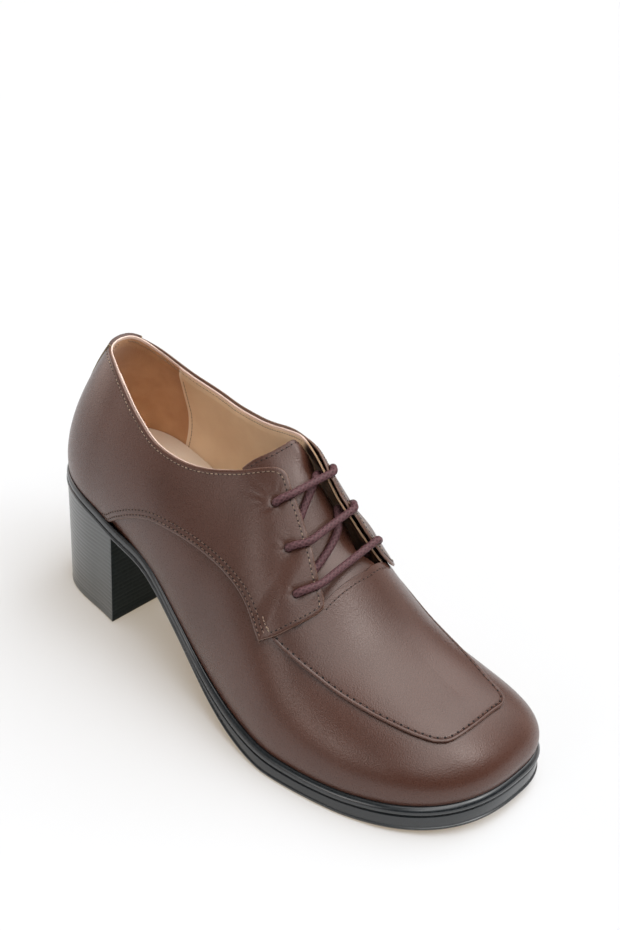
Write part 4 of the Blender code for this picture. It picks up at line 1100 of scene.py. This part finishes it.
def makeCordFinish():
    material, nodes, links = newMaterial("waxed cord")
    surface = nodes["Principled BSDF"]
    weave = node(nodes, "ShaderNodeAttribute", attribute_name="weave")
    place = nodes.new("ShaderNodeTexCoord")
    noise = node(nodes, "ShaderNodeTexNoise", Scale=1500.0, Detail=3.0)
    links.new(place.outputs["Object"], noise.inputs["Vector"])
    # painted shade: the cord's colour is darker in the grooves between its strands
    share = remap(nodes, links, weave.outputs["Fac"], -0.2, 0.9, 0.0, 1.0)
    colour = mixColour(nodes, links, share, (0.072, 0.027, 0.031), (0.135, 0.060, 0.066))
    fleck = remap(nodes, links, noise.outputs["Fac"], 0.58, 0.75, 0.0, 0.5)
    links.new(mixColour(nodes, links, fleck, colour, (0.30, 0.18, 0.18)), surface.inputs["Base Color"])
    surface.inputs["Roughness"].default_value = 0.6
    surface.inputs["Specular IOR Level"].default_value = 0.35
    bump = node(nodes, "ShaderNodeBump", Strength=0.4, Distance=0.0003)
    links.new(noise.outputs["Fac"], bump.inputs["Height"])
    links.new(bump.outputs["Normal"], surface.inputs["Normal"])
    return material


dress(makeLace(), makeCordFinish(), "waxed_cord", "lace")
print("sole, heel, lace done")

# Stitch rows: one stitch modelled, then laid along each row
stitch = {
    "lift": 0.08, "holeLift": 0.02, "holeDeep": 0.22,
    # rows along the tab, facing and collar: start, distance from the edge, rounding, where the collar starts
    "tabFrom": 148.6, "fromEdge": 1.8, "rounding": 4.0, "collarFrom": 122.0,
    # rows along the arch and the tacks at its front: from, to, distance from the edge
    "archSpan": (51.0, 144.6), "archGaps": (1.5, 3.5),
    "tackRow": (138.5, 144.6, 5.4), "tackEnd": (142.2, 143.8, 5.6),
    # for each kind of seam: pitch, share of it that shows thread, thread radius,
    # half length and half width of a hole
    "arch": (2.1, 0.66, 0.22, 0.36, 0.34), "facing": (2.1, 0.60, 0.20, 0.38, 0.32),
    "collar": (1.9, 0.72, 0.18, 0.24, 0.22), "apron": (2.8, 0.66, 0.18, 0.50, 0.46),
    "tongue": (2.2, 0.66, 0.20, 0.36, 0.30), "lining": (1.9, 0.62, 0.17, 0.15, 0.13),
    "tack": (1.3, 0.9, 0.26, 0.26, 0.24), "knot": (0.8, 1.1, 0.36, 0.2, 0.2),
}


def makeTemplate():
    deselect()
    bpy.ops.mesh.primitive_uv_sphere_add(segments=8, ring_count=5, radius=1)
    ball = bpy.context.active_object
    corners = np.array([corner.co[:] for corner in ball.data.vertices])
    faces = [tuple(face.vertices) for face in ball.data.polygons]
    bpy.data.objects.remove(ball)
    return corners, faces


stitchCorners, stitchFaces = makeTemplate()


def lay(name, places, runs, ups, sizes):
    # copies of the template, stretched along their row
    sides = np.cross(ups, runs)
    corners, faces = [], []
    for k in range(len(places)):
        axes = np.stack([runs[k] * sizes[k][0], sides[k] * sizes[k][1], ups[k] * sizes[k][2]])
        corners.append(stitchCorners @ axes + places[k])
        faces += [tuple(index + k * len(stitchCorners) for index in face) for face in stitchFaces]
    mesh = bpy.data.meshes.new(name)
    mesh.from_pydata(((np.concatenate(corners) + np.array(last["origin"])) * mm).tolist(), [], faces)
    piece = bpy.data.objects.new(name, mesh)
    bpy.context.scene.collection.objects.link(piece)
    return piece


def stitchRow(points, normals, kind):
    # places, directions and sizes of the stitches along one line, and of the dark painted hole shade between
    # them
    pitch, fill, radius, holeLong, holeWide = stitch[kind]
    joined = resample(np.concatenate([points, normals], axis=1), pitch)
    knots, up = joined[:, :3], joined[:, 3:]
    up = up / np.linalg.norm(up, axis=1, keepdims=True)
    middle = (knots[:-1] + knots[1:]) / 2
    run = knots[1:] - knots[:-1]
    length = np.linalg.norm(run, axis=1, keepdims=True)
    run = run / length
    rise = up[:-1] + up[1:]
    rise = rise - run * (rise * run).sum(1, keepdims=True)
    rise /= np.linalg.norm(rise, axis=1, keepdims=True)
    sizes = np.column_stack([length[:, 0] * fill / 2, np.full(len(run), radius), np.full(len(run), radius)])
    threads = (middle + rise * stitch["lift"], run, rise, sizes)
    holeSizes = np.tile((holeLong, holeWide, stitch["holeDeep"]), (len(run), 1))
    holeShades = (knots[:-1] + rise * stitch["holeLift"], run, rise, holeSizes)
    return threads, holeShades


def layRows(name, rows, kind, thread, slot="brown_leather"):
    laid = [stitchRow(*row, kind) for row in rows]
    threads = [np.concatenate(part) for part in zip(*[row[0] for row in laid])]
    holeShades = [np.concatenate(part) for part in zip(*[row[1] for row in laid])]
    dress(lay(name, *threads), thread, slot)
    dress(lay(name + "_hole_shade", *holeShades), holeShade, slot)


def rowOn(x, side, share, out):
    side = np.broadcast_to(np.asarray(side, float), np.shape(x))
    return onLast(x, side, share, out), skinNormal(toTurn(x), side, share)


def soften(x, share, side, width):
    # rounds the corners of a line over width millimetres
    joined = resample(np.column_stack([onLast(x, side, share, 0.0), x, share]), 0.25)[:, 3:]
    count = int(width / 0.25)
    first, final = np.repeat(joined[:1], count, axis=0), np.repeat(joined[-1:], count, axis=0)
    padded = np.concatenate([first, joined, final])
    weights = np.ones(count) / count
    return [np.convolve(padded[:, k], weights, "same")[count:-count] for k in (0, 1)]


def quarterRow(x, side, share):
    return rowOn(x, side, share, facingOut(x, side, share))


def archRow(side, first, final, gap):
    low = np.arange(first, final, 0.25)
    x, share = inset(low, side, sideAlong(quarterLow, side, low), gap)
    return quarterRow(x, side, share)


def frontRows(side):
    # along the front of the tab and the facing, then along the collar
    x, share = quarterOutline(side)
    keep = np.arange(len(x)) > np.argmax(x > stitch["tabFrom"])
    x, share = inset(x[keep], side, share[keep], stitch["fromEdge"])
    x, share = soften(x, share, side, stitch["rounding"])
    ok = x > last["back"] + 1.0
    x, share = x[ok], share[ok]
    split = np.argmax((x < stitch["collarFrom"]) & (np.arange(len(x)) > len(x) * 0.15))
    cuts = (0, np.argmax(x), split, len(x))
    return [quarterRow(x[a:b], side, share[a:b]) for a, b in zip(cuts[:-1], cuts[1:])]


def liningRows(side):
    # below the collar edge, and ahead of the seam over the suede
    x = stationsBetween(last["back"] + 0.6, 117.0, 300)
    x, share = inset(x, side, liningTop(x, side), -1.7)
    v = np.linspace(0.1, 0.9, 60)
    seamX = along(liningSeam, "at", v) + 2.0
    rows = []
    for x, share in ((x, share), (seamX, liningShare(seamX, side, v))):
        roll = liningOut(onLast(x, side, share, 0.0), x, side)[1]
        spots, out = rowOn(x, side, share, lining["inner"] + roll)
        rows.append((spots, -out))
    return rows


for side, word in ((lateral, "outer"), (medial, "inner")):
    tab, facing, collar = frontRows(side)
    archRows = [archRow(side, *stitch["archSpan"], gap) for gap in stitch["archGaps"]]
    layRows("arch_seam_" + word, archRows, "arch", seamThread)
    layRows("tack_" + word, [archRow(side, *stitch["tackRow"])], "tack", tanThread)
    layRows("tack_end_" + word, [archRow(side, *stitch["tackEnd"])], "knot", paleGlintThread)
    layRows("tab_seam_" + word, [tab], "facing", seamThread)
    layRows("facing_seam_" + word, [facing], "facing", paleGlintThread)
    layRows("collar_seam_" + word, [collar], "collar", paleGlintThread)
    layRows("lining_seam_" + word, liningRows(side), "lining", tanThread, "sock_leather")

lineX, lineSide, lineShare = apronEdge()
keep = lineX > 147.0
half = len(lineX) // 2
apronRow = [[], []]
for part, turn in ((slice(0, half), 1), (slice(half, None), -1)):
    use = keep[part]
    x, share = inset(lineX[part][use], lineSide[part][use][0], lineShare[part][use],
                     turn * apron["grooveAt"])
    ok = x < last["toe"] - 0.4
    spot, up = rowOn(x[ok], lineSide[part][use][0], share[ok], apron["outer"] - apron["groove"] * 0.8)
    apronRow[0].append(spot)
    apronRow[1].append(up)
layRows("apron_seam", [[np.concatenate(part) for part in apronRow]], "apron", brownThread)
wide = np.linspace(0.70, 1.25, 120)
rearX, rearTop = ([row[k] for row in apronRear["rows"][2:7]] for k in (0, 1))
rear = np.interp(np.where(wide > 1, 2 - wide, wide), rearTop, rearX)
throatRow = rowOn(rear + apron["rearRow"], lateral, wide, apron["outer"])
layRows("throat_seam", [throatRow], "tongue", brownThread)
rise = np.cross(np.gradient(tonguePoints, axis=0), np.gradient(tonguePoints, axis=1))[tongue["row"], 2:-2]
rise *= np.sign(rise[:, 2:]) / np.linalg.norm(rise, axis=1, keepdims=True)
layRows("tongue_seam", [(tonguePoints[tongue["row"], 2:-2], rise)], "tongue", brownThread)
print("stitching done")

# Floor, light and camera
stage = {
    # painted light: the floor glows with a warm light of its own, which lifts and warms the shadows on it
    "floor": (0.575, 0.630, 0.695), "floorGlow": (0.26, 0.195, 0.12), "dusk": (0.03, 0.03, 0.03),
    "duskFrom": 0.148, "duskTo": 0.20, "toCamera": (0.627, -0.779, 0.0),
    "sun": 0.15, "sunSpread": 28.0, "room": 0.02,
    "low": (1.0, 0.82, 0.74),  # light near the horizon is warm
    # each light: elevation, bearing from the toe towards the inner side, sharpness, strength
    "lights": {
        "overhead": (78, 20, 10, 2.9), "outer front high": (60, -40, 25, 1.1),
        "outer front": (46, -28, 30, 1.9), "toe glint": (50, 12, 80, 6.0),
        "inner front": (46, 30, 30, 2.0), "inner high": (62, 75, 20, 1.6),
        "inner side": (44, 90, 25, 2.4), "inner low": (10, 75, 12, 0.8),
        "tab glint": (38, -54, 60, 2.4), "outer low": (20, -94, 60, 3.6),
        "heel side": (10, -122, 14, 0.5), "behind": (6, -166, 18, 3.8)},
}


def makeStage():
    deselect()
    bpy.ops.mesh.primitive_plane_add(size=12, location=(0, 0, -0.0003))
    floor = bpy.context.active_object
    floor.name = "floor"
    material, nodes, links = newMaterial("pale floor")
    surface = nodes["Principled BSDF"]
    place = nodes.new("ShaderNodeTexCoord")
    ahead = node(nodes, "ShaderNodeVectorMath", operation="DOT_PRODUCT")
    links.new(place.outputs["Object"], ahead.inputs[0])  # pale sheet, dim beyond its front edge
    ahead.inputs[1].default_value = stage["toCamera"]
    # painted shade: past its front edge the floor's colour turns dark, standing in for the dim room toward
    # the camera
    share = remap(nodes, links, ahead.outputs["Value"], stage["duskFrom"], stage["duskTo"], 0.0, 1.0)
    black = (0.0, 0.0, 0.0)
    # the emission set here is painted light on the floor
    for near, far, socket in (("floor", stage["dusk"], "Base Color"), ("floorGlow", black, "Emission Color")):
        links.new(mixColour(nodes, links, share, stage[near], far), surface.inputs[socket])
    surface.inputs["Emission Strength"].default_value = 1.0
    surface.inputs["Roughness"].default_value = 0.7
    surface.inputs["Specular IOR Level"].default_value = 0.2
    floor.data.materials.append(material)
    world = bpy.context.scene.world or bpy.data.worlds.new("studio")
    bpy.context.scene.world = world
    world.use_nodes = True
    nodes, links = world.node_tree.nodes, world.node_tree.links
    place = nodes.new("ShaderNodeTexCoord")
    glow = None
    for rise, bearing, power, strength in stage["lights"].values():
        rise, bearing = math.radians(rise), math.radians(bearing)
        facing = node(nodes, "ShaderNodeVectorMath", operation="DOT_PRODUCT")
        links.new(place.outputs["Generated"], facing.inputs[0])
        facing.inputs[1].default_value = (
            math.cos(rise) * math.cos(bearing), math.cos(rise) * math.sin(bearing), math.sin(rise))
        above = node(nodes, "ShaderNodeMath", operation="MAXIMUM")
        links.new(facing.outputs["Value"], above.inputs[0])
        above.inputs[1].default_value = 0.0
        raised = node(nodes, "ShaderNodeMath", operation="POWER")
        links.new(above.outputs[0], raised.inputs[0])
        raised.inputs[1].default_value = power
        total = node(nodes, "ShaderNodeMath", operation="MULTIPLY_ADD")
        links.new(raised.outputs[0], total.inputs[0])
        total.inputs[1].default_value = strength
        total.inputs[2].default_value = stage["room"]
        if glow:
            links.new(glow, total.inputs[2])
        glow = total.outputs[0]
    links.new(glow, nodes["Background"].inputs["Strength"])
    parts = nodes.new("ShaderNodeSeparateXYZ")
    links.new(place.outputs["Generated"], parts.inputs[0])
    share = remap(nodes, links, parts.outputs["Z"], 0.0, 0.5, 1.0, 0.0)
    tint = mixColour(nodes, links, share, (1.0, 1.0, 1.0), stage["low"])
    links.new(tint, nodes["Background"].inputs["Color"])
    lamp = bpy.data.lights.new("window", "SUN")
    lamp.energy = stage["sun"]
    lamp.angle = math.radians(stage["sunSpread"])
    window = bpy.data.objects.new("window", lamp)
    bpy.context.scene.collection.objects.link(window)
    window.location = (0.0, 0.0, 2.0)  # straight down
    bpy.context.scene.view_settings.view_transform = "Standard"


def lookMatrix(place, back, roll):
    right = np.cross((0, 0, 1.0), back)
    right /= np.linalg.norm(right)
    up = np.cross(back, right)
    turned = right * math.cos(roll) + up * math.sin(roll)
    up = -right * math.sin(roll) + up * math.cos(roll)
    rows = [[turned[k], up[k], back[k], place[k]] for k in range(3)]
    return Matrix(rows + [[0, 0, 0, 1]])


view = {"azimuth": 38.84, "elevation": 31.07, "roll": 5.10, "lens": 57.387,
        "place": (0.30819, -0.36863, 0.392)}


def makeCamera():
    camera = bpy.data.objects.new("camera", bpy.data.cameras.new("camera"))
    bpy.context.scene.collection.objects.link(camera)
    camera.data.lens = view["lens"]
    camera.data.sensor_width = 36.0
    camera.data.clip_start, camera.data.clip_end = 0.01, 50.0
    turn, lift = math.radians(view["azimuth"]), math.radians(view["elevation"])
    back = np.array((math.sin(turn) * math.cos(lift), -math.cos(turn) * math.cos(lift), math.sin(lift)))
    camera.matrix_world = lookMatrix(view["place"], back, math.radians(view["roll"]))
    bpy.context.scene.camera = camera


makeStage()
makeCamera()
